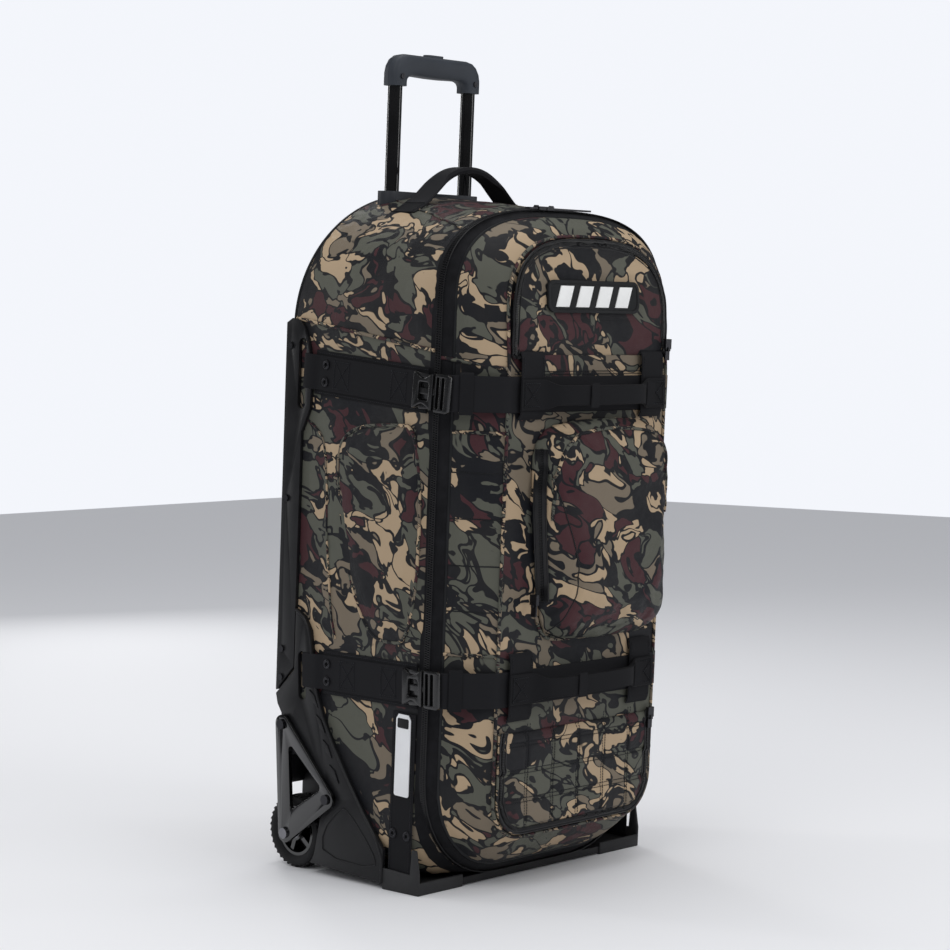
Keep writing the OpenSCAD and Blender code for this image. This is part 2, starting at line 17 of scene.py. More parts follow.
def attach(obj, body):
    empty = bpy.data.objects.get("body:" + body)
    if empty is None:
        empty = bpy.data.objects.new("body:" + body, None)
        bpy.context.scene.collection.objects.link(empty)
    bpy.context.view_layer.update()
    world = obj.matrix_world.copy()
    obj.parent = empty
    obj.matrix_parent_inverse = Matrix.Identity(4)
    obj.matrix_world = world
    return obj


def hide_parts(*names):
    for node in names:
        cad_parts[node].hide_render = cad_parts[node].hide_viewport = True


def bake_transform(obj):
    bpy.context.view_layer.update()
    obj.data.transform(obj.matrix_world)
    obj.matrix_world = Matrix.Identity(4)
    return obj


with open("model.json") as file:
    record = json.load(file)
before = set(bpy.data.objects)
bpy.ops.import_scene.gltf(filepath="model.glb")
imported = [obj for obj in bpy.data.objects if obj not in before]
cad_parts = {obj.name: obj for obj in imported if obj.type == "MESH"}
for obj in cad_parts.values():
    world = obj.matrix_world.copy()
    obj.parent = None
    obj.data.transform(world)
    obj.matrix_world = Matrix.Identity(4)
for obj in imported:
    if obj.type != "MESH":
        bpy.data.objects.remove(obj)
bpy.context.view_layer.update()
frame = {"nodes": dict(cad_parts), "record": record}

# %% [markdown]
# ## One leaned drawing board
# The bag leans three degrees forward on its wheels. Every soft piece is drawn upright in
# millimetres, with y = 0 near the middle of the bag and the zip in the plane y = -75, and is
# then turned and scaled once. That keeps the numbers those of a sewing pattern.
# %% Drawing board
LEAN = math.radians(3)
BOARD = Matrix.Rotation(LEAN, 4, "X") @ Matrix.Scale(0.001, 4)
HALF_W, BACK_Y, ZIP_Y, FRONT_Y = 205, 184.5, -75, -140
FACET_Z, FACET_TILT = 650, math.radians(4.5)
UPPER, LOWER = (635, 3.3), (254, -2)      # straps on the rail: height and fall in degrees
UPPER_LID_Z, LOWER_LID_Z = 622, 262       # the same straps on the lid
PIVOT_Y = 150
WALL = 4                                  # thickness of the padded cloth
HINGE_LOW, HINGE_HIGH = 100, 720          # ends of the hinge tape, where the zip stops
SIDES = ((-1, "left"), (1, "right"))
STRAPS_BACK = ((UPPER, 140), (LOWER, 112))  # how far back each sewn band reaches
# Haul handles: the strap they are sewn over, and the lower and upper ends of their risers.
HAUL_HANDLES = (("upper", UPPER_LID_Z, 592, 674), ("lower", LOWER_LID_Z, 222, 306))
RISER_X = 113                             # middle of a haul handle's risers


def smooth(a, b, t):
    """0 before a, 1 after b and an even ramp between."""
    t = min(1, max(0, (t - a) / (b - a)))
    return t * t * (3 - 2 * t)


def window(t, a, b, c, d):
    """1 from b to c, 0 outside a to d, and even ramps between."""
    return smooth(a, b, t) * (1 - smooth(c, d, t))


def on_strap(p, strap):
    """Turn a point drawn round z = 0 to the strap's height and slope."""
    z, slope = strap
    s, c = math.sin(math.radians(slope)), math.cos(math.radians(slope))
    x, y, w = p
    return Vector((x, PIVOT_Y + (y - PIVOT_Y) * c - w * s, z + (y - PIVOT_Y) * s + w * c))


def front_y(z, lift=0):
    """The lid's front face at height z, lift millimetres in front of it."""
    return FRONT_Y - lift + max(0, z - FACET_Z) * math.tan(FACET_TILT)


print("one millimetre on the board is", round((BOARD @ Vector((1, 0, 0))).length, 4), "m")

# %% [markdown]
# ## Shaders
# Each finish is one Principled shader. A small helper joins nodes by name, and colours are
# given as the 0-255 values that a painter reads off a swatch. Patterns use Object coordinates
# in metres, or the webbing's own UV map in millimetres.
# %% Shader helpers


def rgb(r, g, b):
    """A linear colour from 0-255 values."""
    return tuple((c / 255 / 12.92) if c <= 10 else ((c / 255 + 0.055) / 1.055) ** 2.4
                 for c in (r, g, b)) + (1,)


class Shader:
    """A material with its Principled node, and a short way to add and join nodes."""

    def __init__(self, name, rough, spec=0.5, metal=0.0, coat=0.0, sheen=0.0):
        self.mat = bpy.data.materials.new(name)
        self.mat.use_nodes = True
        self.tree = self.mat.node_tree
        self.bsdf = self.tree.nodes["Principled BSDF"]
        for socket, value in (("Roughness", rough), ("Specular IOR Level", spec),
                              ("Metallic", metal), ("Coat Weight", coat),
                              ("Coat Roughness", 0.12), ("Sheen Weight", sheen)):
            self.bsdf.inputs[socket].default_value = value

    def add(self, kind, inputs=None, **props):
        """A new node; an input that is a socket is joined, any other is set."""
        n = self.tree.nodes.new("ShaderNode" + kind)
        for key, value in props.items():
            setattr(n, key, value)
        for key, value in (inputs or {}).items():
            if isinstance(value, bpy.types.NodeSocket):
                self.tree.links.new(value, n.inputs[key])
            else:
                n.inputs[key].default_value = value
        return n

    def coords(self, uv=False):
        return self.add("TexCoord").outputs["UV" if uv else "Object"]

    def math(self, op, a, b):
        return self.add("Math", {0: a, 1: b}, operation=op).outputs[0]

    def noise(self, vector, scale, detail=2.0, rough=0.5):
        return self.add("TexNoise", {"Vector": vector, "Scale": scale, "Detail": detail,
                                     "Roughness": rough}).outputs["Fac"]

    def ramp(self, value, a, b, low=0.0, high=1.0):
        return self.add("MapRange", {"Value": value, "From Min": a, "From Max": b,
                                     "To Min": low, "To Max": high}).outputs[0]

    def mix(self, factor, a, b):
        n = self.add("Mix", {0: factor}, data_type="RGBA")
        for key, value in ((6, a), (7, b)):
            if isinstance(value, bpy.types.NodeSocket):
                self.tree.links.new(value, n.inputs[key])
            else:
                n.inputs[key].default_value = value
        return n.outputs[2]

    def bands(self, vector, axis, scale):
        return self.add("TexWave", {"Vector": vector, "Scale": scale}, wave_type="BANDS",
                        bands_direction=axis).outputs["Fac"]

    def bump(self, height, distance, strength=1.0, normal=None):
        inputs = {"Height": height, "Distance": distance, "Strength": strength}
        if normal:
            inputs["Normal"] = normal
        return self.add("Bump", inputs).outputs[0]

    def finish(self, colour=None, rough=None, normal=None):
        for key, value in (("Base Color", colour), ("Roughness", rough), ("Normal", normal)):
            if isinstance(value, bpy.types.NodeSocket):
                self.tree.links.new(value, self.bsdf.inputs[key])
            elif value is not None:
                self.bsdf.inputs[key].default_value = value
        return self.mat


# %% [markdown]
# ## Printed camouflage
# The print is a patchwork: tan, taupe, olive and maroon patches with wavy fingers, each with
# a charcoal outline of even width. It could be drawn by hand, but a cell pattern gives a
# print that never repeats. Object coordinates are warped by noise and fed to two Voronoi
# nodes: one gives each cell a random number that picks its colour, the other the distance to
# the cell's edge, which is the outline. The cells are turned and flattened, so that patches
# run down to the right. Every cut panel shifts the print by its own "cut" value, as panels
# laid on cloth do, and the piping uses a finer print because it is cut on the bias.
# %% Camouflage
TAN, TAUPE, OLIVE = rgb(174, 152, 124), rgb(118, 107, 92), rgb(86, 87, 78)
MAROON, CHARCOAL = rgb(68, 40, 44), rgb(27, 28, 32)
PATCHES = ((0.0, TAN), (0.25, MAROON), (0.42, OLIVE), (0.68, TAUPE), (0.85, CHARCOAL))
SLANT = Vector((0.42, -0.42, 0.8)).rotation_difference(Vector((0, 0, 1))).to_euler()
PATCH, FINGER, OUTLINE = 0.047, 0.034, 0.068


def woven(s, where, pitch, depth, normal=None):
    """Bump of a fine plain weave with that thread pitch, in metres."""
    threads = [s.bands(where, axis, 1 / (pitch * 3.18)) for axis in "XYZ"]
    total = s.math("ADD", s.math("ADD", threads[0], threads[1]), threads[2])
    return s.bump(total, depth, 0.5, normal)


def camouflage(name, fine=1.0):
    """The print; a larger value of fine makes smaller patches."""
    s = Shader(name, 0.5, spec=0.14)
    here = s.coords()
    cut = s.add("Attribute", attribute_name="cut").outputs["Fac"]
    shift = s.add("CombineXYZ", {"X": s.math("MULTIPLY", cut, 1.37), "Y": s.math("MULTIPLY", cut, 2.11),
                                 "Z": s.math("MULTIPLY", cut, 0.83)}).outputs[0]
    moved = s.add("VectorMath", {0: here, 1: shift}, operation="ADD").outputs[0]
    turned = s.add("VectorRotate", {"Vector": moved, "Rotation": SLANT},
                   rotation_type="EULER_XYZ").outputs[0]
    flat = s.add("Mapping", {"Vector": turned, "Scale": (fine, fine, 1.65 * fine)}).outputs[0]

    def warp(vector, size, reach, detail):
        swirl = s.add("TexNoise", {"Vector": vector, "Scale": 1 / size, "Detail": detail,
                                   "Roughness": 0.5}).outputs["Color"]
        centred = s.add("VectorMath", {0: swirl, 1: (0.5, 0.5, 0.5)}, operation="SUBTRACT").outputs[0]
        pull = s.add("VectorMath", {0: centred, "Scale": reach}, operation="SCALE").outputs[0]
        return s.add("VectorMath", {0: vector, 1: pull}, operation="ADD").outputs[0]

    warped = warp(warp(flat, 0.09, 0.15, 1.0), FINGER, 0.080, 1.2)
    cell, edge = [s.add("TexVoronoi", {"Vector": warped, "Scale": 1 / PATCH}, feature=kind).outputs[result]
                  for kind, result in (("F1", "Color"), ("DISTANCE_TO_EDGE", "Distance"))]
    pick = s.add("SeparateColor", {"Color": cell}).outputs["Red"]
    colour = PATCHES[0][1]
    for level, paint in PATCHES[1:]:
        colour = s.mix(s.ramp(pick, level, level + 0.001), colour, paint)
    colour = s.mix(s.ramp(edge, OUTLINE, OUTLINE + 0.02), CHARCOAL, colour)
    cloudy = s.noise(here, 9.0, 3.0)
    faded = s.mix(s.ramp(cloudy, 0.35, 0.75, 0.0, 0.06), colour, rgb(128, 122, 112))
    creases = s.bump(s.noise(here, 45.0, 4.0, 0.6), 0.0012, 0.35)
    rough = s.ramp(s.noise(here, 120.0, 2.0), 0.3, 0.7, 0.42, 0.56)
    return s.finish(faded, rough, woven(s, here, 0.0009, 0.00012, creases))


CAMO = camouflage("camouflage_polyester")
PIPING_CAMO = camouflage("camouflage_piping", 2.6)
print("camouflage:", len(CAMO.node_tree.nodes), "nodes")

# %% [markdown]
# ## The plain finishes
# Webbing shows its ribs across the strap, so its pattern follows the UV map in millimetres.
# Moulded plastic has a fine spark texture that breaks up the highlight, painted tube and
# bracket are glossy with a slight orange peel, and rubber is dull.
# %% Plain finishes


def cloth_black(name, tint, pitch, ribbed=False, rough=0.8):
    """Plain dark cloth: a weave with its pitch in metres, or ribs along the UV map in mm."""
    s = Shader(name, rough, spec=0.12, sheen=0.02)
    here = s.coords(uv=ribbed)
    if ribbed:
        ribs = s.bands(here, "Y", 1 / (pitch * 3.18))
        cords = s.bands(here, "X", 1 / (pitch * 4.6))
        height = s.math("ADD", ribs, s.math("MULTIPLY", cords, 0.6))
        bump = s.bump(height, 0.00035, 0.6)
        grain = s.noise(here, 0.12, 3.0)
    else:
        bump = woven(s, here, pitch, 0.00018)
        grain = s.noise(here, 60.0, 3.0)
    light = tuple(c * 1.9 for c in tint[:3]) + (1,)
    return s.finish(s.mix(s.ramp(grain, 0.3, 0.75), tint, light), None, bump)


def moulded(name, tint, rough, grain=900.0, depth=0.00012, spec=0.22, coat=0.0, scuff=0.12, metal=0.0):
    """Plastic, rubber or metal with a spark texture; scuff says how uneven its wear is."""
    s = Shader(name, rough, spec=0.5 if metal else spec, coat=coat, metal=metal)
    here = s.coords()
    spark = s.noise(here, grain, 2.0)
    cloud = s.noise(here, 24.0, 4.0)
    light = tuple(min(1, c * (1 + 3 * scuff) + 0.004) for c in tint[:3]) + (1,)
    roughness = s.ramp(cloud, 0.3, 0.7, max(0.04, rough - scuff * 0.5), rough + scuff * 0.5)
    return s.finish(s.mix(s.ramp(cloud, 0.35, 0.75), tint, light), roughness,
                    s.bump(spark, depth, 0.4))


LINING = cloth_black("lining_polyester", rgb(46, 47, 50), 0.0012, rough=0.7)
TAPE = cloth_black("zip_tape_weave", rgb(20, 20, 22), 0.0010)
WEBBING = cloth_black("ribbed_webbing", rgb(21, 21, 23), 1.5, ribbed=True)
THREAD = cloth_black("bonded_thread", rgb(30, 31, 34), 0.0006, rough=0.5)
COIL = moulded("nylon_coil", rgb(19, 19, 21), 0.36, spec=0.35, scuff=0.04)
# Dark vinyl for the zip's edge and the back binding; the same finish colours thin cords that are painted
# shade in the lid's quilt creases and along the big pocket's seam.
EDGE_AND_SHADE_CORD = moulded("piping_vinyl_and_painted_shade", rgb(24, 25, 27), 0.42, scuff=0.08)
SLED = moulded("sled_polypropylene", rgb(20, 20, 22), 0.42, depth=0.00025, spec=0.3, scuff=0.1)
FOOT = moulded("foot_polypropylene", rgb(40, 40, 41), 0.55, depth=0.0003, scuff=0.16)
GRIP = moulded("grip_polyamide", rgb(50, 54, 60), 0.46, depth=0.0002, scuff=0.08)
BEZEL = moulded("bezel_polyamide", rgb(48, 50, 54), 0.45, depth=0.0002, scuff=0.08)
GLOSS = moulded("glossy_black_polyamide", rgb(7, 7, 8), 0.13, grain=160.0, spec=0.6, coat=0.6, scuff=0.03)
BUCKLE = moulded("buckle_acetal", rgb(14, 14, 15), 0.22, grain=400.0, spec=0.6, scuff=0.05)
TUBE = moulded("tube_black_lacquer", rgb(9, 9, 10), 0.14, grain=90.0, depth=0.00003, coat=0.7,
               scuff=0.04, metal=0.2)
STEEL = moulded("zinc_steel", rgb(120, 120, 124), 0.32, grain=500.0, scuff=0.1, metal=1.0)
DARK_STEEL = moulded("blackened_steel", rgb(52, 52, 55), 0.34, grain=500.0, scuff=0.1, metal=0.9)
SILVER = moulded("slider_nickel", rgb(176, 176, 180), 0.24, grain=500.0, scuff=0.08, metal=1.0)
RUBBER = moulded("tyre_rubber_compound", rgb(27, 27, 28), 0.68, grain=300.0, depth=0.0004, scuff=0.2)
BADGE = moulded("badge_rubber_black", rgb(22, 23, 25), 0.52, scuff=0.06)
WHITE = moulded("badge_rubber_white", rgb(232, 232, 230), 0.5, scuff=0.02)
TAG = moulded("tag_white_vinyl", rgb(226, 227, 228), 0.42, scuff=0.03)
PLUG = moulded("plug_nylon", rgb(205, 204, 198), 0.5, scuff=0.05)
print("finishes:", len(bpy.data.materials))

# %% [markdown]
# ## Turning drawings into pieces
# `piece` places a mesh drawn on the board, gives it its finish and body, and says which plain
# CAD solids it stands for. Modifiers are applied before that, so every piece is a plain mesh
# whose object sits at the origin.
# %% Making pieces
MADE = []


def bake(obj):
    """Apply all the modifiers of obj."""
    bpy.context.view_layer.update()
    result = bpy.data.meshes.new_from_object(obj.evaluated_get(bpy.context.evaluated_depsgraph_get()))
    obj.modifiers.clear()
    obj.data = result
    return obj


def modifier(obj, kind, **values):
    """Add a modifier with those settings."""
    m = obj.modifiers.new(kind.lower(), kind)
    for key, value in values.items():
        setattr(m, key, value)
    return m


def new_object(name, bm):
    """An object in the scene from a bmesh, which is freed."""
    mesh = bpy.data.meshes.new(name)
    bm.to_mesh(mesh)
    bm.free()
    obj = bpy.data.objects.new(name, mesh)
    bpy.context.scene.collection.objects.link(obj)
    return obj


def piece(obj, body, slot, finishes, *replaced, cut=None, flat=30, placed=False):
    """Place obj, give it finishes, shading and a body, and let it stand for CAD nodes.
    A panel brings its finishes along, so it is given none. A piece that spans two bodies has
    None for its body and is given to neither."""
    mesh = obj.data
    if not placed:
        mesh.transform(BOARD)
    if cut is not None:
        layer = mesh.attributes.new("cut", "FLOAT", "POINT")
        layer.data.foreach_set("value", [cut] * len(mesh.vertices))
    for finish in finishes if isinstance(finishes, (list, tuple)) else [finishes]:
        mesh.materials.append(finish)
    mesh.shade_smooth()
    if flat:
        mesh.set_sharp_from_angle(angle=math.radians(flat))
    if body:
        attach(obj, body)
    if replaced:
        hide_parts(*replaced)
    MADE.append(obj)
    return obj


def grid(rings, closed=True, cap_start=False, cap_end=False):
    """Quads between rings of points, with the ends closed to their middles if asked."""
    bm = bmesh.new()
    rows = [[bm.verts.new(p) for p in ring] for ring in rings]
    for a, b in zip(rows, rows[1:]):
        n = len(a)
        for i in range(n if closed else n - 1):
            j = (i + 1) % n
            bm.faces.new((a[i], a[j], b[j], b[i]))
    for wanted, row, turn in ((cap_start, rows[0], -1), (cap_end, rows[-1], 1)):
        if wanted:
            hub = bm.verts.new(sum((v.co for v in row), Vector()) / len(row))
            for i in range(len(row)):
                trio = (row[i], row[(i + 1) % len(row)], hub)
                bm.faces.new(trio[::turn])
    bm.normal_update()
    return bm


def refined(node, body, slot, finish, bevel):
    """A copy of a CAD node with its flat faces joined and its edges rounded."""
    bm = bmesh.new()
    bm.from_mesh(frame["nodes"][node].data)
    bm.transform(Matrix.Scale(1000, 4))
    bmesh.ops.remove_doubles(bm, verts=bm.verts, dist=0.01)
    bmesh.ops.dissolve_limit(bm, angle_limit=math.radians(1), verts=bm.verts, edges=bm.edges)
    bm.transform(Matrix.Scale(0.001, 4))
    obj = new_object(node + "_moulding", bm)
    modifier(obj, "BEVEL", width=bevel * 0.001, segments=2, limit_method="ANGLE",
             angle_limit=math.radians(35), harden_normals=False)
    return piece(bake(obj), body, slot, finish, node, flat=35, placed=True)


def resample(points, step, closed=False):
    """Points at even steps along a path."""
    pts = [Vector(p) for p in points] + ([Vector(points[0])] if closed else [])
    out, left = [pts[0].copy()], step
    for a, b in zip(pts, pts[1:]):
        length, at = (b - a).length, 0.0
        while length - at >= left and length > 0:
            at += left
            out.append(a.lerp(b, at / length))
            left = step
        left -= length - at
    if closed:
        if (out[-1] - out[0]).length < step * 0.6:
            out.pop()
    elif (out[-1] - pts[-1]).length > step * 0.3:
        out.append(pts[-1].copy())
    return out


def rounded(points, times=2, closed=False):
    """Cut the corners of a path a few times, which turns it into a smooth curve."""
    pts = [Vector(p) for p in points]
    for _ in range(times):
        ends = pts + pts[:1] if closed else pts
        cut = [q for a, b in zip(ends, ends[1:]) for q in (a.lerp(b, 0.25), a.lerp(b, 0.75))]
        pts = cut if closed else [pts[0]] + cut[1:-1] + [pts[-1]]
    return pts


def tube(points, radius, closed=False, sides=8):
    """A round cord swept along points, as a bmesh."""
    n, rings = len(points), []
    side = None
    for i, p in enumerate(points):
        a = points[i - 1] if closed or i else p
        b = points[(i + 1) % n] if closed or i < n - 1 else p
        along = (b - a).normalized()
        side = (side or Vector((0.3, 0.9, 0.31))).cross(along).normalized().cross(along) * -1
        other = along.cross(side)
        rings.append([p + (side * math.cos(t) + other * math.sin(t)) * radius
                      for t in (2 * math.pi * k / sides for k in range(sides))])
    if closed:
        rings.append(rings[0])
        bm = grid(rings)
        bmesh.ops.remove_doubles(bm, verts=bm.verts, dist=0.001)
    else:
        bm = grid(rings, cap_start=True, cap_end=True)
    bmesh.ops.recalc_face_normals(bm, faces=bm.faces)
    return bm


def webbing(path, across, width, thick, step=4.0, round_times=2):
    """A strap swept along a path. across is the direction of its width; UVs are in mm."""
    pts = resample(rounded(path, round_times), step)
    across = Vector(across).normalized()
    edge, half = thick / 2, width / 2
    spans = [-half + edge, -half * 0.6, -half * 0.2, half * 0.2, half * 0.6, half - edge]
    section = [(w, edge) for w in spans] + [(half, 0)] + [(w, -edge) for w in spans[::-1]] + [(-half, 0)]
    rings, travelled, lengths = [], 0.0, []
    for i, p in enumerate(pts):
        a, b = pts[max(0, i - 1)], pts[min(len(pts) - 1, i + 1)]
        along = (b - a).normalized()
        up = along.cross(across).normalized()
        travelled += (p - pts[i - 1]).length if i else 0
        lengths.append(travelled)
        rings.append([p + across * w + up * h for w, h in section])
    bm = grid(rings, cap_start=True, cap_end=True)
    layer = bm.loops.layers.uv.new("UVMap")
    bm.verts.ensure_lookup_table()
    n = len(section)
    for face in bm.faces:
        for loop in face.loops:
            k = loop.vert.index
            ring, spot = min(divmod(k, n), (len(lengths) - 1, n - 1))
            loop[layer].uv = (section[spot][0], lengths[ring])
    bmesh.ops.recalc_face_normals(bm, faces=bm.faces)
    return bm


def joined(parts):
    """Several bmeshes as one."""
    whole = bmesh.new()
    for bm in parts:
        mesh = bpy.data.meshes.new("part")
        bm.to_mesh(mesh)
        bm.free()
        whole.from_mesh(mesh)
        bpy.data.meshes.remove(mesh)
    return whole


print("board ready")

# %% [markdown]
# ## Outlines
# Seen from the front, the bag is an arch on straight sides with round lower corners. One
# formula, a superellipse, draws the arch. All outlines have the same number of points at the
# same places, so that a loft between two of them needs no fitting.
# %% Outlines


def outline(half, spring, top, power, foot, corner, grow=0.0):
    """Points of an arch-topped outline, clockwise from the left spring, as (x, z)."""
    half, top, foot, corner = half + grow, top + grow, foot - grow, corner + grow
    pts = []
    for i in range(73):
        t = math.pi * (1 - i / 72)
        c, s = math.cos(t), math.sin(t)
        pts.append((half * math.copysign(abs(c) ** (2 / power), c),
                    spring + (top - spring) * max(0, s) ** (2 / power)))
    sides = 34
    right = [(half, spring + (foot + corner - spring) * k / sides) for k in range(1, sides)]
    turn = [(half - corner + corner * math.cos(a), foot + corner - corner * math.sin(a))
            for a in (math.pi / 2 * k / 10 for k in range(11))]
    lower = right + turn
    floor = [((half - corner) * (1 - 2 * k / 20), foot) for k in range(1, 20)]
    return pts + lower + floor + [(-x, z) for x, z in lower[::-1]]


def key_ring(y, *shape):
    """An outline as a ring of points at depth y."""
    return [Vector((x, y, z)) for x, z in outline(*shape)]


BELLY_Y = -50
BACK = (HALF_W, 690, 865, 2, 17, 40)
BELLY = (HALF_W, 715, 848, 2.5, 17, 60)
ZIP = (203, 725, 845, 2.8, 17, 130)
LID_FRONT = (148, 700, 815, 3, 75, 50)


def body_ring(y):
    """The bag's outline at depth y, straight between its three key outlines."""
    ends = ((ZIP_Y, ZIP), (BELLY_Y, BELLY)) if y < BELLY_Y else ((BELLY_Y, BELLY), (BACK_Y, BACK))
    (ya, a), (yb, b) = ends
    rings = [key_ring(y, *shape) for shape in (a, b)]
    return [p.lerp(q, (y - ya) / (yb - ya)) for p, q in zip(*rings)]


def inset(ring, distance):
    """The ring moved inwards in its own plane."""
    out = []
    for i, p in enumerate(ring):
        d = ring[(i + 1) % len(ring)] - ring[i - 1]
        out.append(p + Vector((d.z, 0, -d.x)).normalized() * distance)
    return out


def wrinkle(p, size=1.0, seed=0.0):
    """Soft unevenness of stuffed cloth, in millimetres, about -size to size."""
    q = Vector((p.x * 0.011 + seed, p.y * 0.02, p.z * 0.014))
    return size * (noise.noise(q) + 0.45 * noise.noise(q * 2.9) + 0.22 * noise.noise(q * 7.3))


print("outline points:", len(outline(*BACK)))

# %% [markdown]
# ## The bag's shell
# The real shell is sewn from a yoke, two side walls, a back and a floor, padded with foam. A
# loft through rings gives its outer face; the vertices are then pushed out between the straps
# and held in under them, as a packed bag bulges. The loft is cut along the seam lines, and
# each panel gets its own thickness, so panels stay separate pieces. The print is shifted on
# each of them. Both wheel wells are cut from the panels that they cross.
# %% Shell
YOKE_Z, YOKE_TILT = 671, math.radians(6.6)  # the seam under the yoke, at the zip
SEAM = (Vector((0, ZIP_Y, YOKE_Z)), Vector((0, -math.sin(YOKE_TILT), math.cos(YOKE_TILT))))
BACK_ROUND = 8                              # radius of the edge between the walls and the back
FLOOR_HALF = 130                            # half the width of the floor panel
WHEEL_IN, TYRE_HALF, WELL_GAP = 20, 16.5, 5.5
WELL_X = HALF_W - WHEEL_IN - TYRE_HALF - WELL_GAP
AXLE_Y, AXLE_Z = 156, 47                    # on the floor's own axes, so turned to the board
AXLE = (AXLE_Y * math.cos(LEAN) + AXLE_Z * math.sin(LEAN),
        AXLE_Z * math.cos(LEAN) - AXLE_Y * math.sin(LEAN))


def seam_height(y):
    """Height of the seam between the yoke and the walls."""
    return YOKE_Z + (y - ZIP_Y) * math.tan(YOKE_TILT)


def shell_push(p, n):
    """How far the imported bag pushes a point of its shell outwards."""
    side = abs(n.x)
    free = 1 - smooth(96, 128, p.y + max(0, 330 - p.z) * 0.62)
    open_front = smooth(-72, -50, p.y)
    bulge = 6.5 * window(p.z, 284, 345, 545, 600) + 3.0 * window(p.z, 664, 700, 740, 800)
    bulge += 1.5 * window(p.z, 110, 160, 180, 225) * smooth(-18, 0, p.y)
    folds = wrinkle(p, 2.2) * (0.25 + 0.75 * window(p.z, 280, 330, 900, 901))
    strapped = max(window(p.z, 596, 608, 650, 664), window(p.z, 222, 232, 276, 288))
    push = side * free * open_front * (bulge + folds) * (1 - strapped) - 1.2 * side * strapped * open_front
    crown = max(0, n.z) * open_front * (1 - smooth(150, 175, p.y)) * (1.5 + wrinkle(p, 1.8, 4.0))
    back = max(0, n.y) * (wrinkle(p, 1.4, 9.0) - 1.5)
    return push + crown + back


def outer_shell():
    """The loft from the zip to the back, round the rear edge and closed in the middle."""
    reach = BACK_Y - BACK_ROUND - BELLY_Y
    stations = [ZIP_Y, -72, -66, -58, BELLY_Y] + [BELLY_Y + reach * k / 30 for k in range(1, 31)]
    rings = [body_ring(y) for y in stations]
    for t in (math.pi / 2 * k / 6 for k in range(1, 7)):
        rings.append([Vector((p.x, BACK_Y - BACK_ROUND + BACK_ROUND * math.sin(t), p.z))
                      for p in inset(body_ring(BACK_Y), BACK_ROUND * (1 - math.cos(t)))])
    middle = Vector((0, BACK_Y, 450))
    for scale in (0.93, 0.85, 0.76, 0.66, 0.55, 0.43, 0.3, 0.15):
        rings.append([middle.lerp(Vector((p.x, BACK_Y, p.z)), scale) for p in rings[40]])
    return grid([r[::-1] for r in rings], cap_end=True)


def solid_panel(name, bm, keep, finishes=(CAMO, LINING)):
    """The faces of bm that keep() wants, as a thick panel with an outer and an inner finish."""
    part = bm.copy()
    unwanted = [f for f in part.faces if not keep(f.calc_center_median(), f.normal)]
    bmesh.ops.delete(part, geom=unwanted, context="FACES")
    obj = new_object(name, part)
    for finish in finishes:
        obj.data.materials.append(finish)
    inner = len(finishes) - 1
    modifier(obj, "SOLIDIFY", thickness=WALL, offset=-1, material_offset=inner, material_offset_rim=inner)
    return bake(obj)


def well_cutter(side):
    """The wheel's bay as a solid: a hull of the wheel's room and two corners."""
    circles = ((AXLE[0], AXLE[1], 56.3), (150, 133, 13.3), (104, 98, 13.3))
    pts = [Vector((0, y + r * math.cos(t), z + r * math.sin(t))) for y, z, r in circles
           for t in (math.pi * k / 16 for k in range(32))]
    bm = bmesh.new()
    for x in (side * (WELL_X - 3.3), side * (HALF_W + 25)):
        for p in pts:
            bm.verts.new(p + Vector((x, 0, 0)))
    bmesh.ops.convex_hull(bm, input=bm.verts)
    bmesh.ops.recalc_face_normals(bm, faces=bm.faces)
    return new_object("well_cutter", bm)


def cut_wells(obj, sides):
    """Cut the wheel bays of those sides from a panel."""
    cutters = [well_cutter(s) for s in sides]
    for cutter in cutters:
        modifier(obj, "BOOLEAN", operation="DIFFERENCE", object=cutter, solver="EXACT")
    bake(obj)
    for cutter in cutters:
        bpy.data.objects.remove(cutter)
    return obj


shell = outer_shell()
bmesh.ops.recalc_face_normals(shell, faces=shell.faces)
if sum((f.normal.y for f in shell.faces if f.calc_center_median().y > BACK_Y - 1)) < 0:
    bmesh.ops.reverse_faces(shell, faces=shell.faces)
for co, no in (SEAM, *((Vector((x, 0, 0)), Vector((1, 0, 0))) for x in (-FLOOR_HALF, FLOOR_HALF))):
    bmesh.ops.bisect_plane(shell, geom=shell.verts[:] + shell.edges[:] + shell.faces[:],
                           plane_co=co, plane_no=no, dist=0.01)
shell.normal_update()
for v, push in [(v, shell_push(v.co, v.normal)) for v in shell.verts]:
    v.co += v.normal * push
shell.normal_update()


def is_back(p):
    return p.y > BACK_Y - 7


def is_floor(p):
    return abs(p.x) < FLOOR_HALF and p.z < 100


def is_above(p):
    return p.z > seam_height(p.y)


yoke = solid_panel("yoke_fabric", shell, lambda p, n: not is_back(p) and is_above(p))
piece(yoke, "bag", "camo_fabric", (), "top_yoke", cut=0.13, flat=60)
for side, side_name in SIDES:
    wall = solid_panel("side_wall_%s_fabric" % side_name, shell,
                       lambda p, n: p.x * side > 0 and not (is_back(p) or is_above(p) or is_floor(p)))
    piece(cut_wells(wall, (side,)), "bag", "camo_fabric", (),
          "side_wall_" + side_name, cut=0.41 + 0.2 * side, flat=60)
back = solid_panel("back_fabric", shell, lambda p, n: is_back(p))
piece(cut_wells(back, (-1, 1)), "bag", "camo_fabric", (), "back_panel", cut=0.87, flat=60)
floor_panel = solid_panel("floor_fabric", shell, lambda p, n: is_floor(p) and not is_back(p),
                          (LINING,))
piece(floor_panel, "bag", "lining_fabric", (), "bottom_wall", flat=60)
shell.free()
print("shell panels:", [o.name for o in MADE])

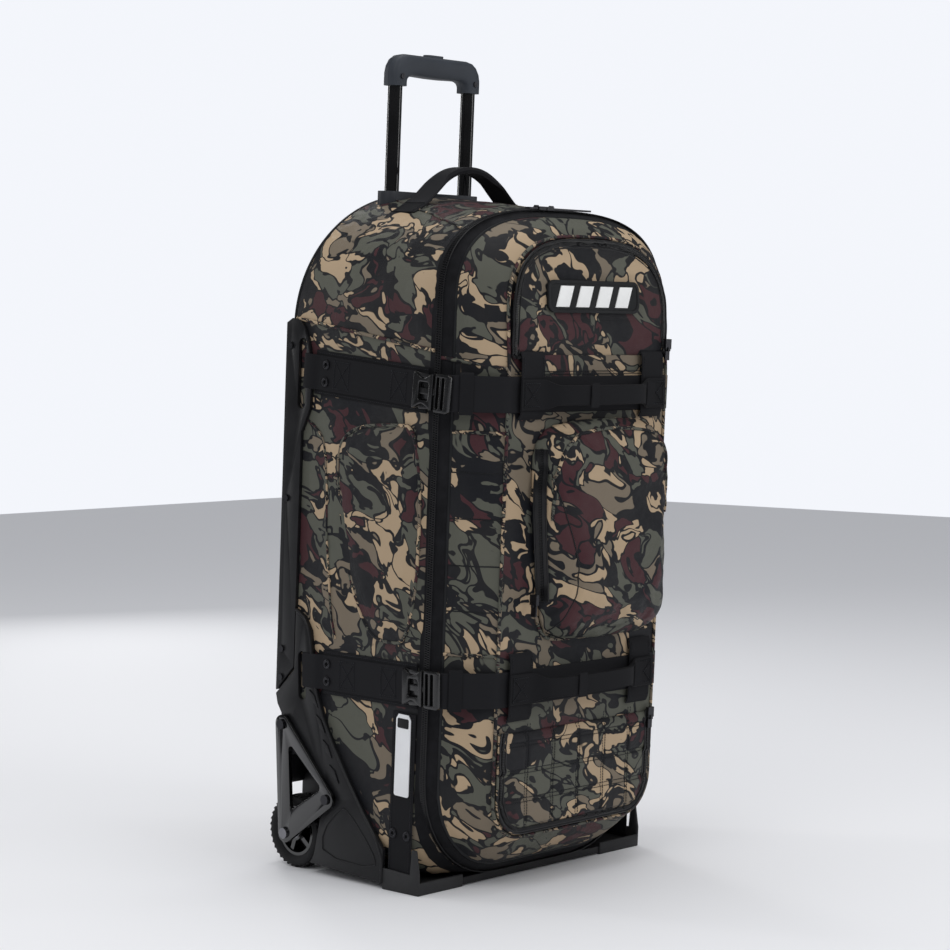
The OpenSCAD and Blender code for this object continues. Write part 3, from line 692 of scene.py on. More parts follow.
# %% [markdown]
# ## The lid
# The lid is a shallow bowl: a deep gusset round its edge and a flat front. Its left and right
# gussets are quilted, so the loft dips along level lines there, and it is held in where the
# straps cross it. The front leans back above the stitched seam. As on the shell, the gusset
# and the front are two panels.
# %% Lid
QUILT = [575, 526, 470, 413, 357, 304]
GUSSET_SEAM_Z, GUSSET_SLOPE = 664, 0.17
LID_DEPTH = ZIP_Y - FRONT_Y


def lid_front_ring():
    """The edge between the gusset and the front."""
    return [Vector((x, front_y(z), z)) for x, z in outline(*LID_FRONT)]


def lid_ring(t):
    """Ring of the gusset, t from 0 at the zip to 1 at the front."""
    return [a.lerp(b, t) for a, b in zip(key_ring(ZIP_Y - 0.4, *ZIP), lid_front_ring())]


def lid_push(p, n, t):
    """Bulge and quilting of the lid's gusset at share t of its depth."""
    edge = window(t, 0.2, 0.42, 0.7, 1.0)
    side = smooth(0.35, 0.8, abs(n.x))
    strapped = max(window(p.z, 586, 598, 646, 658), window(p.z, 228, 240, 284, 296))
    dip = sum(math.exp(-((p.z - z) / 6.0) ** 2) for z in QUILT)
    soft = (4.4 + wrinkle(p, 2.0, 2.0)) * (1 - strapped * side)
    return edge * (soft - 5.0 * dip * side) - 0.6 * strapped * side


def lid_surface():
    """The quilted gusset, as one loft from the zip to the front."""
    steps = [0, 0.03] + [0.03 + 0.94 * k / 16 for k in range(1, 17)] + [1]
    rings = [lid_ring(t) for t in steps]
    bm = grid(rings)
    bm.normal_update()
    bm.verts.ensure_lookup_table()
    n = len(rings[0])
    outward = 1 if sum(v.normal.x * v.co.x for v in bm.verts) > 0 else -1
    for i, t in enumerate(steps):
        for v in bm.verts[i * n:(i + 1) * n]:
            v.co += v.normal * (outward * lid_push(v.co, v.normal, t))
    if outward < 0:
        bmesh.ops.reverse_faces(bm, faces=bm.faces)
    bm.normal_update()
    return bm


gusset = lid_surface()
bmesh.ops.bisect_plane(gusset, geom=gusset.verts[:] + gusset.edges[:] + gusset.faces[:],
                       plane_co=(0, ZIP_Y, GUSSET_SEAM_Z), plane_no=(0, -GUSSET_SLOPE, 0.985), dist=0.01)
for name, high, cut in (("lid_gusset_upper_fabric", True, 0.29), ("lid_gusset_lower_fabric", False, 0.66)):
    part = solid_panel(name, gusset,
                       lambda p, n: (p.z > GUSSET_SEAM_Z + (p.y - ZIP_Y) * GUSSET_SLOPE) == high)
    piece(part, "lid", "camo_fabric", (), "lid_gusset", cut=cut, flat=60)
gusset.free()


def front_point(x, z, lift=0.0):
    """A point lift millimetres in front of the lid."""
    return Vector((x, front_y(z, lift), z))


def front_panel():
    """The lid's front, slightly puffed in its middle."""
    base = lid_front_ring()
    middle = Vector((0, FRONT_Y, 450))
    rings = [base]
    for scale in (0.985, 0.96, 0.92, 0.86, 0.78, 0.69, 0.58, 0.46, 0.33, 0.18):
        ring = []
        for p in base:
            q = middle.lerp(p, scale)
            puff = 2.0 * (1 - scale ** 6) + wrinkle(q, 1.0, 7.0) * (1 - scale ** 8)
            ring.append(front_point(q.x, q.z, puff))
        rings.append(ring)
    return grid(rings, cap_end=True)


bm = front_panel()
if sum(f.normal.y for f in bm.faces) > 0:
    bmesh.ops.reverse_faces(bm, faces=bm.faces)
bm.normal_update()
piece(solid_panel("lid_front_fabric", bm, lambda p, n: True), "lid", "camo_fabric", (),
      "lid_front", cut=1.21, flat=60)
bm.free()
print("lid:", [o.name for o in MADE[-3:]])

# %% [markdown]
# ## Padded panels and pockets
# The kidney pads, the three pockets and their foam are stuffed forms held at a seam. Each
# starts a little slim as rings from its seam to its face, is remeshed to even quads, and is
# blown up by a cloth simulation while its seam stays pinned. A cap keeps any point from
# moving far. Seams narrower than a quad are drawn afterwards, as dips and piping.
# %% Swelling soft pieces
VOXEL, FRAMES = 0.0045, 20
ON_BOARD = BOARD.inverted()
LEAN_TURN = Matrix.Rotation(LEAN, 3, "X")


def soft_block(name, rings, pinned):
    """A closed, remeshed solid from rings; pinned(p) says which points a seam holds."""
    bm = grid(rings, cap_start=True, cap_end=True)
    bmesh.ops.recalc_face_normals(bm, faces=bm.faces)
    obj = new_object(name, bm)
    obj.data.transform(BOARD)
    modifier(obj, "REMESH", mode="VOXEL", voxel_size=VOXEL)
    modifier(obj, "SMOOTH", factor=0.5, iterations=2)
    bake(obj)
    group = obj.vertex_groups.new(name="seam")
    group.add([v.index for v in obj.data.vertices if pinned(ON_BOARD @ v.co)], 1.0, "REPLACE")
    return obj


def swell(blocks):
    """Blow the blocks up together; blocks maps each object to the cap on its movement."""
    scene = bpy.context.scene
    scene.frame_start, scene.frame_end = 1, FRAMES
    for obj in blocks:
        cloth = modifier(obj, "CLOTH")
        cloth.settings.use_pressure = True
        cloth.settings.uniform_pressure_force = 4.0
        cloth.settings.quality = 5
        cloth.settings.vertex_group_mass = "seam"
        cloth.settings.effector_weights.gravity = 0.0
        cloth.point_cache.frame_start, cloth.point_cache.frame_end = 1, FRAMES
    rest = {obj: [v.co.copy() for v in obj.data.vertices] for obj in blocks}
    for number in range(1, FRAMES + 1):
        scene.frame_set(number)
    for obj, cap in blocks.items():
        bake(obj)
        for v, start in zip(obj.data.vertices, rest[obj]):
            step = v.co - start
            if step.length > cap:
                v.co = start + step * (cap / step.length)
    scene.frame_set(1)
    for obj in blocks:
        modifier(obj, "SUBSURF", levels=1, render_levels=1)
        bake(obj)
        obj.vertex_groups.clear()


def shape(obj, move):
    """Move the vertices of obj on the board: move(p, n) gives the new point."""
    mesh = obj.data
    mesh.transform(ON_BOARD)
    normals = [n.vector.copy() for n in mesh.vertex_normals]
    for v, n in zip(mesh.vertices, normals):
        v.co = move(v.co, n)
    mesh.transform(BOARD)


# %% [markdown]
# ### Where the seams run
# The pockets copy the lid's front outline; the big pocket and the kidney pads have outlines
# of their own, given by their corners and then rounded.
# %% Outlines of the soft pieces
PAD = [(-60, 582), (-1, 581), (52, 575), (78, 561), (90, 539), (84, 477), (69, 403), (50, 355),
       (27, 318), (3, 304), (-60, 309)]
POCKET_BASE = [(-107, 505), (-104, 572), (-52, 591), (60, 592), (120, 588), (137, 535), (138, 380),
               (134, 318), (90, 316), (-20, 316), (-72, 318), (-86, 350)]
POCKET_FACE = [(-97, 500), (-93, 557), (-45, 581), (50, 583), (106, 574), (126, 525), (131, 400),
               (124, 338), (84, 328), (-5, 330), (-46, 338), (-66, 372)]
POCKET_TOP_Z, LOWER_POCKET_Z = 656, 225


def pad_ring(x, scale=1.0):
    """The kidney pad's outline at distance x, shrunk to its middle by scale."""
    pts = rounded([(x, y, z) for y, z in PAD], 3, closed=True)
    hub = Vector((x, 15, 455))
    return resample([hub.lerp(p, scale) for p in pts], 6, closed=True)


def even(ring, count):
    """The closed ring again with that many points, evenly spaced."""
    total = sum((ring[i] - ring[i - 1]).length for i in range(len(ring)))
    pts = resample(ring, total / count, closed=True)
    return (pts + [pts[-1]] * count)[:count]


def front_part(grow, wanted):
    """The lid's front outline, grown, as far as wanted(z) holds, closed by a straight line."""
    return [(x, z) for x, z in outline(*LID_FRONT, grow) if wanted(z)]


def pocket_rings(points, heights, count=150):
    """Rings of a flat pocket: heights are pairs of lift and inset."""
    base = even(resample([Vector((x, 0, z)) for x, z in points], 3, closed=True), count)
    hub = sum(base, Vector()) / count
    out = []
    for lift, gap in heights:
        ring = []
        for p in base:
            reach = (p - hub).length
            q = hub.lerp(p, max(0.1, 1 - gap / reach))
            ring.append(front_point(q.x, q.z, lift))
        out.append(ring)
    return out


TOP_POCKET = front_part(-3, lambda z: z > POCKET_TOP_Z)
LOWER_POCKET = front_part(-5, lambda z: z < LOWER_POCKET_Z)
FLAT_HEIGHTS = [(0.4, 0), (2.5, 0.0), (4.4, 2.0), (5.2, 6)]
top_pocket = soft_block("top_pocket_fabric", pocket_rings(TOP_POCKET, FLAT_HEIGHTS),
                        lambda p: p.y > front_y(p.z, 1.8))
lower_pocket = soft_block("lower_pocket_fabric", pocket_rings(LOWER_POCKET, FLAT_HEIGHTS),
                          lambda p: p.y > front_y(p.z, 1.8))


def big_pocket_rings():
    """Rings of the big pocket from its seam to its rounder, higher face."""
    base = even(resample(rounded([(x, 0, z) for x, z in POCKET_BASE], 3, True), 3, True), 140)
    face = even(resample(rounded([(x, 0, z) for x, z in POCKET_FACE], 3, True), 3, True), 140)
    first = min(range(140), key=lambda i: (face[i] - base[0]).length)
    face = face[first:] + face[:first]
    hub = Vector((18, 0, 455))
    out = []
    for lift, blend, scale in ((0.5, 0, 1), (10, 0.12, 1), (22, 0.42, 1), (32, 0.78, 1.0),
                               (36.5, 1, 0.985), (38.5, 1, 0.93), (39.5, 1, 0.8), (40.0, 1, 0.5)):
        ring = [hub.lerp(a.lerp(b, blend), scale) for a, b in zip(base, face)]
        out.append([front_point(p.x, p.z, lift) for p in ring])
    return out


big_pocket = soft_block("big_pocket_fabric", big_pocket_rings(), lambda p: p.y > FRONT_Y - 4)
pads = {}
for side, side_name in SIDES:
    rings = [pad_ring(side * (HALF_W + out), scale)
             for out, scale in ((0.5, 1), (4.5, 1), (6.2, 0.985), (7.0, 0.95))]
    count = len(rings[0])
    rings = [even(r, count) for r in rings]
    pads[side] = soft_block("side_pad_%s_fabric" % side_name, rings, lambda p: abs(p.x) < HALF_W + 2.5)

swell({top_pocket: 0.0030, lower_pocket: 0.0035, big_pocket: 0.007, pads[-1]: 0.0035, pads[1]: 0.0035})
soft_blocks = (top_pocket, lower_pocket, big_pocket, *pads.values())
print("soft blocks:", [len(o.data.vertices) for o in soft_blocks])

# %% [markdown]
# ### Seams and folds in the soft pieces
# A seam pulls a narrow dip into foam. The lower pocket is quilted in a grid; the big pocket
# has a seam that runs down from its top corner and back to its lower corner.
# %% Dips along seams
GRID_X = [-96, -48, 0, 48, 96]
GRID_Z = [192, 158, 122]
POCKET_SEAM = [(-97, 534), (-84, 500), (-66, 452), (-50, 408), (-48, 378), (-60, 346), (-72, 322)]


def distance_to(path, x, z):
    """Distance from (x, z) to the nearest stretch of a path."""
    best = 1e9
    for (xa, za), (xb, zb) in zip(path, path[1:]):
        dx, dz = xb - xa, zb - za
        t = max(0, min(1, ((x - xa) * dx + (z - za) * dz) / (dx * dx + dz * dz)))
        best = min(best, math.hypot(x - xa - t * dx, z - za - t * dz))
    return best


def quilted(p, n):
    """The lower pocket's face, dipped along its grid."""
    if n.y > -0.3:
        return p
    near = min(min(abs(p.x - x) for x in GRID_X), min(abs(p.z - z) for z in GRID_Z))
    return p + Vector((0, 1.8 * math.exp(-(near / 3.0) ** 2) - wrinkle(p, 0.8, 3.0), 0))


def creased(p, n):
    """The big pocket's face, dipped along its seam."""
    if p.y > FRONT_Y - 8:
        return p
    near = distance_to(POCKET_SEAM, p.x, p.z)
    dip = 2.6 * math.exp(-(near / 3.5) ** 2) * max(0, -n.y)
    return p - n * (dip - wrinkle(p, 2.4, 5.0) * smooth(0, 20, FRONT_Y - p.y - 4))


def round_badge(p, n):
    """The top pocket's face, kept flat where the badge is stitched to it."""
    q = p + n * wrinkle(p, 1.0, 6.0)
    flat = (1 - smooth(90, 100, abs(q.x))) * window(q.z, 708, 718, 764, 774)
    flat *= smooth(2, 4, front_y(q.z) - q.y)
    return Vector((q.x, q.y + (front_y(q.z, 6.0) - q.y) * flat, q.z))


shape(top_pocket, round_badge)
shape(lower_pocket, quilted)
shape(big_pocket, creased)
for side, pad in pads.items():
    shape(pad, lambda p, n: p + n * wrinkle(p, 0.8, 8.0) * smooth(HALF_W + 2, HALF_W + 5, abs(p.x)))
for obj, node, cut in ((top_pocket, "top_pocket", 1.83), (lower_pocket, "lower_pocket", 2.27),
                       (big_pocket, "big_pocket", 2.71)):
    piece(obj, "lid", "camo_fabric", [CAMO], node, cut=cut, flat=0, placed=True)
for side, pad in pads.items():
    piece(pad, "bag", "camo_fabric", [CAMO], *(["side_pads"] if side < 0 else []),
          cut=3.1 + 0.2 * side, flat=0, placed=True)

# %% [markdown]
# ### Lying on cloth
# Piping, zips and stitches have to lie on the swelled surface, wherever the simulation has
# left it. A ray from in front finds it for each point of a route.
# %% Routes on a surface


def lie_on(obj, route, facing, lift, step=4.0):
    """The route on the board, moved along facing on to the surface of obj, plus lift."""
    tree = BVHTree.FromObject(obj, bpy.context.evaluated_depsgraph_get())
    turn = LEAN_TURN @ Vector(facing).normalized()
    out = []
    for p in resample(route, step):
        start = BOARD @ (p + Vector(facing).normalized() * 60)
        spot = tree.ray_cast(start, -turn)[0]
        out.append(ON_BOARD @ spot + Vector(facing).normalized() * lift if spot else p)
    return out


# %% [markdown]
# ## Piping and seams
# Piping is a cord in a strip of cloth, sewn into a seam: here a tube swept along the seam.
# The camouflage piping is the same cloth, the edge of the zip is black vinyl. Dark cords sunk
# in the lid's quilt creases and along the big pocket's seam are painted shade of those creases.
# %% Piping


def piping(name, body, slot, finish, paths, radius=1.9, cut=None):
    """Cords along several paths on the board, as one piece; closed is True for a ring."""
    tubes = [tube(resample(path, 5, closed), radius, closed) for path, closed in paths]
    return piece(new_object(name, joined(tubes)), body, slot, finish, cut=cut)


def side_seam(side):
    """The seam under the yoke, along one wall."""
    return [Vector((side * (HALF_W + 0.8 + shell_push(Vector((side * HALF_W, y, seam_height(y))),
            Vector((side, 0, 0)))), y, seam_height(y))) for y in range(-70, 180, 6)]


def lid_seam(side):
    """The same seam where it goes on across the gusset."""
    pts = []
    for k in range(12):
        t = 0.04 + 0.95 * k / 11
        x = ZIP[0] + (LID_FRONT[0] - ZIP[0]) * t + 0.9 + 1.8 * math.sin(math.pi * t)
        z = GUSSET_SEAM_Z - LID_DEPTH * t * GUSSET_SLOPE
        pts.append(Vector((side * x, ZIP_Y - LID_DEPTH * t, z)))
    return pts


def front_edge():
    """The piped edge of the lid's front."""
    return [front_point(x, z, 0.6) for x, z in outline(*LID_FRONT, 0.6)]


def made(name):
    """The piece of that name."""
    return next(o for o in MADE if o.name == name)


piping("seam_piping_bag", "bag", "camo_fabric", PIPING_CAMO,
       [(side_seam(-1), False), (side_seam(1), False)] +
       [(lie_on(pads[s], pad_ring(s * (HALF_W + 4), 0.972), (s, 0, 0), 0.5), True) for s in (-1, 1)],
       2.2, cut=4.2)
SEAM_ROUTE = [Vector((x, FRONT_Y - 40, z)) for x, z in POCKET_SEAM]
ARCH_ROUTE = rounded([Vector((x, FRONT_Y - 40, z)) for x, z in
                      [(-90, 470)] + [(x * 0.96, z - 2) for x, z in POCKET_FACE[:6]] + [(125, 470)]], 3)


yoke_seams, wall_seams = [], []
for side, side_name in SIDES:
    yoke_seams.append((lie_on(yoke, [Vector((side * x, y, 860)) for x, y in ((158, -70), (72, 140))],
                              (0, 0, 1), 0.4), False))
    curve = rounded([Vector((side * (HALF_W + 20), y, z)) for y, z in
                     ((150, 572), (122, 556), (109, 520), (104, 450), (96, 380), (86, 300))], 2)
    wall_seams.append((lie_on(made("side_wall_%s_fabric" % side_name), curve, (side, 0, 0), 0.3), False))
piping("panel_piping", "bag", "camo_fabric", PIPING_CAMO, yoke_seams + wall_seams, 1.7, cut=6.2)


def across_gusset(side, z, lift):
    """A route that crosses the gusset's curve at height z, for piping and for the painted shade of a
    crease.
    """
    chord = [Vector((side * (ZIP[0] + (LID_FRONT[0] - ZIP[0]) * t), ZIP_Y - LID_DEPTH * t, z))
             for t in (0.22, 0.97)]
    return lie_on(made("lid_gusset_lower_fabric"), chord, (side, -0.8, 0), lift), False


gusset_seams = [across_gusset(side, z, 0.2) for side in (-1, 1) for z in (QUILT[0], QUILT[-1])]
# Thin dark cords sunk into the inner quilt creases: painted shade of those creases, not seams.
quilt_crease_shade = [across_gusset(side, z, -0.2) for side in (-1, 1) for z in QUILT[1:-1]]
piping("seam_piping_lid", "lid", "camo_fabric", PIPING_CAMO,
       gusset_seams + [(lid_seam(-1), False), (lid_seam(1), False), (front_edge(), True),
        (lie_on(big_pocket, ARCH_ROUTE, (0, -1, 0), 0.4), False),
        (rounded([front_point(x, z, 2.4) for x, z in POCKET_BASE[7:]], 3), False)], 2.3, cut=4.9)
# Painted shade: dark cords in the quilt creases and along the big pocket's seam dip, not piping.
piping("pocket_seam_shadow", "lid", "zip_tape", EDGE_AND_SHADE_CORD,
       quilt_crease_shade + [(lie_on(big_pocket, SEAM_ROUTE, (0, -1, 0), 0.1), False)], 0.9)
piping("pocket_piping_lower", "lid", "camo_fabric", PIPING_CAMO,
       [([front_point(x, z, 2.6) for x, z in LOWER_POCKET], False)], 2.0, cut=5.6)
rear = [Vector((p.x, BACK_Y - 2.4, p.z)) for p in inset(body_ring(BACK_Y), 2.3)]
piping("back_binding", "bag", "zip_tape", EDGE_AND_SHADE_CORD, [(rear, True)], 2.4)
piping("zip_edge_lid", "lid", "zip_tape", EDGE_AND_SHADE_CORD,
       [(inset(lid_ring(0.2), 1.4), True)], 2.6)
print("piping done")

# %% [markdown]
# ## The fabric hinge
# The lid has no metal hinge: on its right side a strip of tape is sewn to both halves and
# folds. It is drawn as a narrow grid across the gap and given to neither body.
# %% Hinge tape
rows = []
for z in range(HINGE_LOW, HINGE_HIGH + 2, 20):
    rows.append([Vector((HALF_W + 0.6 + 0.5 * math.sin(math.pi * k / 10), ZIP_Y + 9 - 1.8 * k, z))
                 for k in range(11)])
hinge = new_object("hinge_tape", grid(rows, closed=False))
modifier(hinge, "SOLIDIFY", thickness=0.8, offset=0)
piece(bake(hinge), None, "zip_tape", TAPE)
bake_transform(hinge)
print("hinge tape rows:", len(rows))

# %% [markdown]
# ## Webbing
# Straps are flat woven bands. They are swept along their real routes, with rounded edges and
# a UV map in millimetres for the ribs. The two right-hand straps cross the lid's hinge, so a
# short fold there spans both bodies and is given to neither.
# %% Straps


def strap(name, body, nodes, parts):
    """One webbing piece from several sweeps."""
    return piece(new_object(name, joined(parts)), body, "webbing", WEBBING, *nodes)


def side_path(side, strap_at, slot_y, bar, end_y):
    """Route of a side strap: out of the rail's slot, over its bar and forward to end_y."""
    x = HALF_W + 3
    flat = [(x - 2.4, slot_y), (x + 3.8, slot_y), (x + 3.8, slot_y - bar), (x, slot_y - bar - 9),
            (x, end_y)]
    dense = []
    for (xa, ya), (xb, yb) in zip(flat, flat[1:]):
        count = max(1, int(abs(yb - ya) // 12))
        dense += [(xa + (xb - xa) * k / count, ya + (yb - ya) * k / count) for k in range(count)]
    return [on_strap((side * px, py, 0), strap_at) for px, py in dense + [flat[-1]]]


def strap_normal(strap_at):
    """Direction of the strap's width."""
    return on_strap((0, 0, 1), strap_at) - on_strap((0, 0, 0), strap_at)


STRAP_W, BAND_W = 44, 56
UPPER_SLOT, LOWER_SLOT = (155, 14.6), (140.5, 26.6)
BUCKLE_Y = -44
left = [webbing(side_path(-1, at, *slot, BUCKLE_Y + 0.6), strap_normal(at), STRAP_W, 2.0, round_times=1)
        for at, slot in ((UPPER, UPPER_SLOT), (LOWER, LOWER_SLOT))]
strap("side_straps_left", "bag", ("strap_upper_left", "strap_lower_left"), left)
right = [webbing(side_path(1, at, *slot, ZIP_Y + 9), strap_normal(at), STRAP_W, 2.0, round_times=1)
         for at, slot in ((UPPER, UPPER_SLOT), (LOWER, LOWER_SLOT))]
strap("side_straps_right", "bag", ("straps_right",), right)
bands = []
for side in (-1, 1):
    for at, rear_y in STRAPS_BACK:
        path = [on_strap((side * (HALF_W + 0.9), y, 0), at) for y in range(ZIP_Y + 13, rear_y + 1, 8)]
        bands.append(webbing(path, strap_normal(at), BAND_W, 1.6, round_times=0))
strap("side_bands_sewn", "bag", ("side_bands",), bands)

for at, lid_z, part in ((UPPER, UPPER_LID_Z, "upper"), (LOWER, LOWER_LID_Z, "lower")):
    a = on_strap((HALF_W + 3, ZIP_Y + 9, 0), at)
    b = Vector((HALF_W + 1.2, ZIP_Y - 5, lid_z))
    proud = Vector((0.8, 0, 0))
    path = [a + Vector((0.1, 3, 0)), a.lerp(b, 0.3) + proud, a.lerp(b, 0.7) + proud, b]
    fold = new_object("strap_fold_" + part, webbing(path, strap_normal(at), STRAP_W - 0.6, 2.2, step=1.5))
    piece(fold, None, "webbing", WEBBING)
    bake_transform(fold)

LID_STRAP_Y = FRONT_Y - 3.3


def lid_strap_path(z):
    """Route of a lid strap: from its buckle round the left corner, the front and the right."""
    corner = LID_FRONT[0] + 3
    path = [(-HALF_W - 2.4, -90, z), (-HALF_W - 2.4, -104, z)]
    path += [(-HALF_W - 2.4 + (HALF_W + 2.4 - corner) * t, -104 + (LID_STRAP_Y + 104) * t, z)
             for t in (0.06, 0.2, 0.4, 0.6, 0.8, 0.94)]
    path += [(x, LID_STRAP_Y, z) for x in range(-corner + 6, corner - 5, 20)]
    path += [(corner + (HALF_W + 1 - corner) * t, LID_STRAP_Y + (-79 - LID_STRAP_Y) * t, z)
             for t in (0.04, 0.2, 0.4, 0.6, 0.8, 1)]
    return path


strap("lid_straps_webbing", "lid", ("lid_straps",),
      [webbing(lid_strap_path(z), (0, 0, 1), STRAP_W, 2.0) for z in (UPPER_LID_Z, LOWER_LID_Z)])
print("straps:", len(left) + len(right) + len(bands) + 4)

# %% [markdown]
# ### Handles of webbing
# Each haul handle has two risers sewn over the strap and a grip that is folded to half its
# width in the middle. The carry handle on top is folded in the same way and stands in an arch.
# %% Haul handles, carry handle and keepers


def folded(path, across, wide, narrow, thick, share=0.22):
    """A strap that narrows and thickens between its ends, as webbing folded over does."""
    bm = webbing(path, across, wide, thick, step=3.0)
    pts = resample(rounded(path, 2), 3.0)
    across = Vector(across).normalized()
    n = 14
    bm.verts.ensure_lookup_table()
    for i, middle in enumerate(pts):
        t = i / (len(pts) - 1)
        f = smooth(share * 0.6, share, t) * (1 - smooth(1 - share, 1 - share * 0.6, t))
        for v in bm.verts[i * n:(i + 1) * n]:
            off = v.co - middle
            w = across * off.dot(across)
            v.co = middle + w * (1 - f * (1 - narrow / wide)) + (off - w) * (1 + 1.4 * f)
    return bm


def riser(x, low, high, z):
    """A haul handle's upright band, sewn over the strap at height z."""
    y = FRONT_Y - 7.4
    path = [(x, y + 3.5, high), (x, y, high - 6), (x, y - 0.3, z + 26), (x, y - 0.5, z - 26),
            (x, y, low + 6), (x, y + 3.5, low)]
    return webbing(path, (1, 0, 0), 42, 2.0, round_times=1)


for part, z, low, high in HAUL_HANDLES:
    y = FRONT_Y - 6.3
    half_grip = [(136, 4.2), (118, 4.6), (100, 5.6), (86, 12), (74, 18), (50, 22), (20, 23.5)]
    grip_path = [(-x, y - out, z) for x, out in half_grip] + [(x, y - out, z) for x, out in half_grip[::-1]]
    sweeps = [riser(s * RISER_X, low, high, z) for s in (-1, 1)]
    sweeps.append(folded(grip_path, (0, 0, 1), 38, 25, 2.6))
    for x, out in ((-26, 22.5), (96, 9.5)):
        loop = [(x, y - out - 4.6, z - 15), (x, y - out - 5.4, z), (x, y - out - 4.6, z + 15)]
        sweeps.append(webbing(loop, (1, 0, 0), 16, 1.4, round_times=1))
    strap("haul_handle_%s_webbing" % part, "lid", ("haul_handle_" + part,), sweeps)

CARRY_Y, SIDE_WEB_Y = 88, -42
half_arch = [(89, 851), (80, 856), (66, 868), (50, 882), (30, 893), (10, 898)]
arch = [(-x, CARRY_Y, z) for x, z in half_arch] + [(x, CARRY_Y, z) for x, z in half_arch[::-1]]
strap("carry_handle_webbing", "bag", ("carry_handle",), [folded(arch, (0, 1, 0), 38, 27, 3.2, 0.3)])
strap("carry_handle_anchors", "bag", (),
      [webbing([(s * x, CARRY_Y, z) for x, z in ((80, 856.5), (96, 846.5), (112, 839))], (0, 1, 0), 42, 1.8)
       for s in (-1, 1)])
strap("side_webbings_sewn", "bag", ("side_webbings",),
      [webbing([(s * (HALF_W + 1.3), SIDE_WEB_Y, z) for z in range(16, 228, 10)], (0, 1, 0), 40, 1.6,
               round_times=0) for s in (-1, 1)])


def keeper(along, z, width):
    """Elastic loop round a lid strap, along millimetres in from its buckle end."""
    path = resample(lid_strap_path(z), 1.0)
    a, b = path[along], path[along + width]
    out = (b - a).normalized().cross(Vector((0, 0, 1))) * -1
    out = out if out.x < 0 else -out
    middle = (a + b) / 2
    pts = [middle + out * lift + Vector((0, 0, h)) for lift, h in
           ((-0.9, -25), (1.4, -25.5), (2.6, -23), (2.9, 0), (2.6, 23), (1.4, 25.5), (-0.9, 25))]
    return webbing(pts, (b - a).normalized(), width, 1.2, step=3, round_times=1)


strap("strap_keepers", "lid", (), [keeper(22, UPPER_LID_Z, 17), keeper(22, LOWER_LID_Z, 17)])
print("webbing pieces:", sum("webbing" in o.name or "strap" in o.name for o in MADE))

# %% [markdown]
# ## Flat moulded parts
# Buckles, the badge, the tag and ribs on the side plates are flat mouldings. A filled 2-D
# curve with an extrusion and a bevel makes such a plate, holes included, in one step.
# %% Plates


def plate(outlines, low, high, bevel=0.6, axis="x"):
    """A bevelled plate between two levels; the first outline is its edge, the rest holes."""
    curve = bpy.data.curves.new("plate", "CURVE")
    curve.dimensions, curve.fill_mode = "2D", "BOTH"
    curve.extrude = (high - low) / 2 - bevel
    curve.bevel_depth, curve.bevel_resolution, curve.offset = bevel, 2, -bevel
    for points in outlines:
        spline = curve.splines.new("POLY")
        spline.points.add(len(points) - 1)
        spline.use_cyclic_u = True
        for spot, (u, w) in zip(spline.points, points):
            spot.co = (u, w, 0, 1)
    obj = bpy.data.objects.new("plate", curve)
    bpy.context.scene.collection.objects.link(obj)
    bpy.context.view_layer.update()
    mesh = bpy.data.meshes.new_from_object(obj.evaluated_get(bpy.context.evaluated_depsgraph_get()))
    bm = bmesh.new()
    bm.from_mesh(mesh)
    bpy.data.objects.remove(obj)
    bmesh.ops.remove_doubles(bm, verts=bm.verts, dist=0.001)
    middle = (low + high) / 2
    for v in bm.verts:
        u, w, h = v.co
        v.co = (h + middle, u, w) if axis == "x" else (u, -h - middle, w)
    bmesh.ops.recalc_face_normals(bm, faces=bm.faces)
    return bm


def oblong(u0, u1, w0, w1, r):
    """A rectangle with round corners."""
    corners = ((u1 - r, w1 - r), (u0 + r, w1 - r), (u0 + r, w0 + r), (u1 - r, w0 + r))
    return [(u + r * math.cos(a), w + r * math.sin(a)) for quarter, (u, w) in enumerate(corners)
            for a in (math.pi / 2 * (quarter + k / 6) for k in range(7))]


def strap_plate(at, outlines, out, inside, bevel):
    """A plate that stands out from the left wall on a strap, between those two distances."""
    bm = plate(outlines, -HALF_W - out, -HALF_W - inside, bevel)
    for v in bm.verts:
        v.co = on_strap(v.co, at)
    return bm


def waist(y0, y1, half, pinch):
    """Outline of a buckle half whose long sides curve in."""
    n = 12
    top = [(y0 + (y1 - y0) * k / n, half - pinch * math.sin(math.pi * k / n) ** 2) for k in range(n + 1)]
    return top + [(y, -w) for y, w in top[::-1]]


SOCKET_Y = BUCKLE_Y - 36
sockets, prongs = [], []
for at in (UPPER, LOWER):
    bar_hole = oblong(BUCKLE_Y - 9, BUCKLE_Y - 4, -19, 19, 2)
    frame_hole = oblong(SOCKET_Y + 6, BUCKLE_Y - 13, -11, 11, 3)
    sockets.append(strap_plate(at, [waist(SOCKET_Y, BUCKLE_Y, 23, 4.5), bar_hole], 8.2, 2.4, 1.0))
    sockets.append(strap_plate(at, [waist(SOCKET_Y, BUCKLE_Y - 3, 22, 6.5), frame_hole], 13.6, 8.0, 1.4))
    for w in (-1, 1):
        arm = [(SOCKET_Y + along, w * half) for along, half in
               ((2, 14), (2, 20), (12, 21.5), (22, 22), (24, 17), (12, 15.5))]
        prongs.append(strap_plate(at, [arm[::w]], 11.6, 8.6, 0.7))
    prongs.append(strap_plate(at, [oblong(SOCKET_Y - 2, SOCKET_Y + 24, -4, 4, 2.5)], 11.2, 8.6, 0.7))
    ladder = oblong(SOCKET_Y - 26, SOCKET_Y - 1.5, -23.5, 23.5, 4)
    slots = [oblong(SOCKET_Y - y - 5, SOCKET_Y - y, -19, 19, 1.5) for y in (4.5, 13)]
    prongs.append(strap_plate(at, [ladder] + slots, 11.5, 5.5, 1.2))
for half, body, parts in (("sockets", "bag", sockets), ("prongs", "lid", prongs)):
    piece(new_object("buckle_%s_moulding" % half, joined(parts)), body, "buckle_plastic", BUCKLE,
          "buckle_" + half)

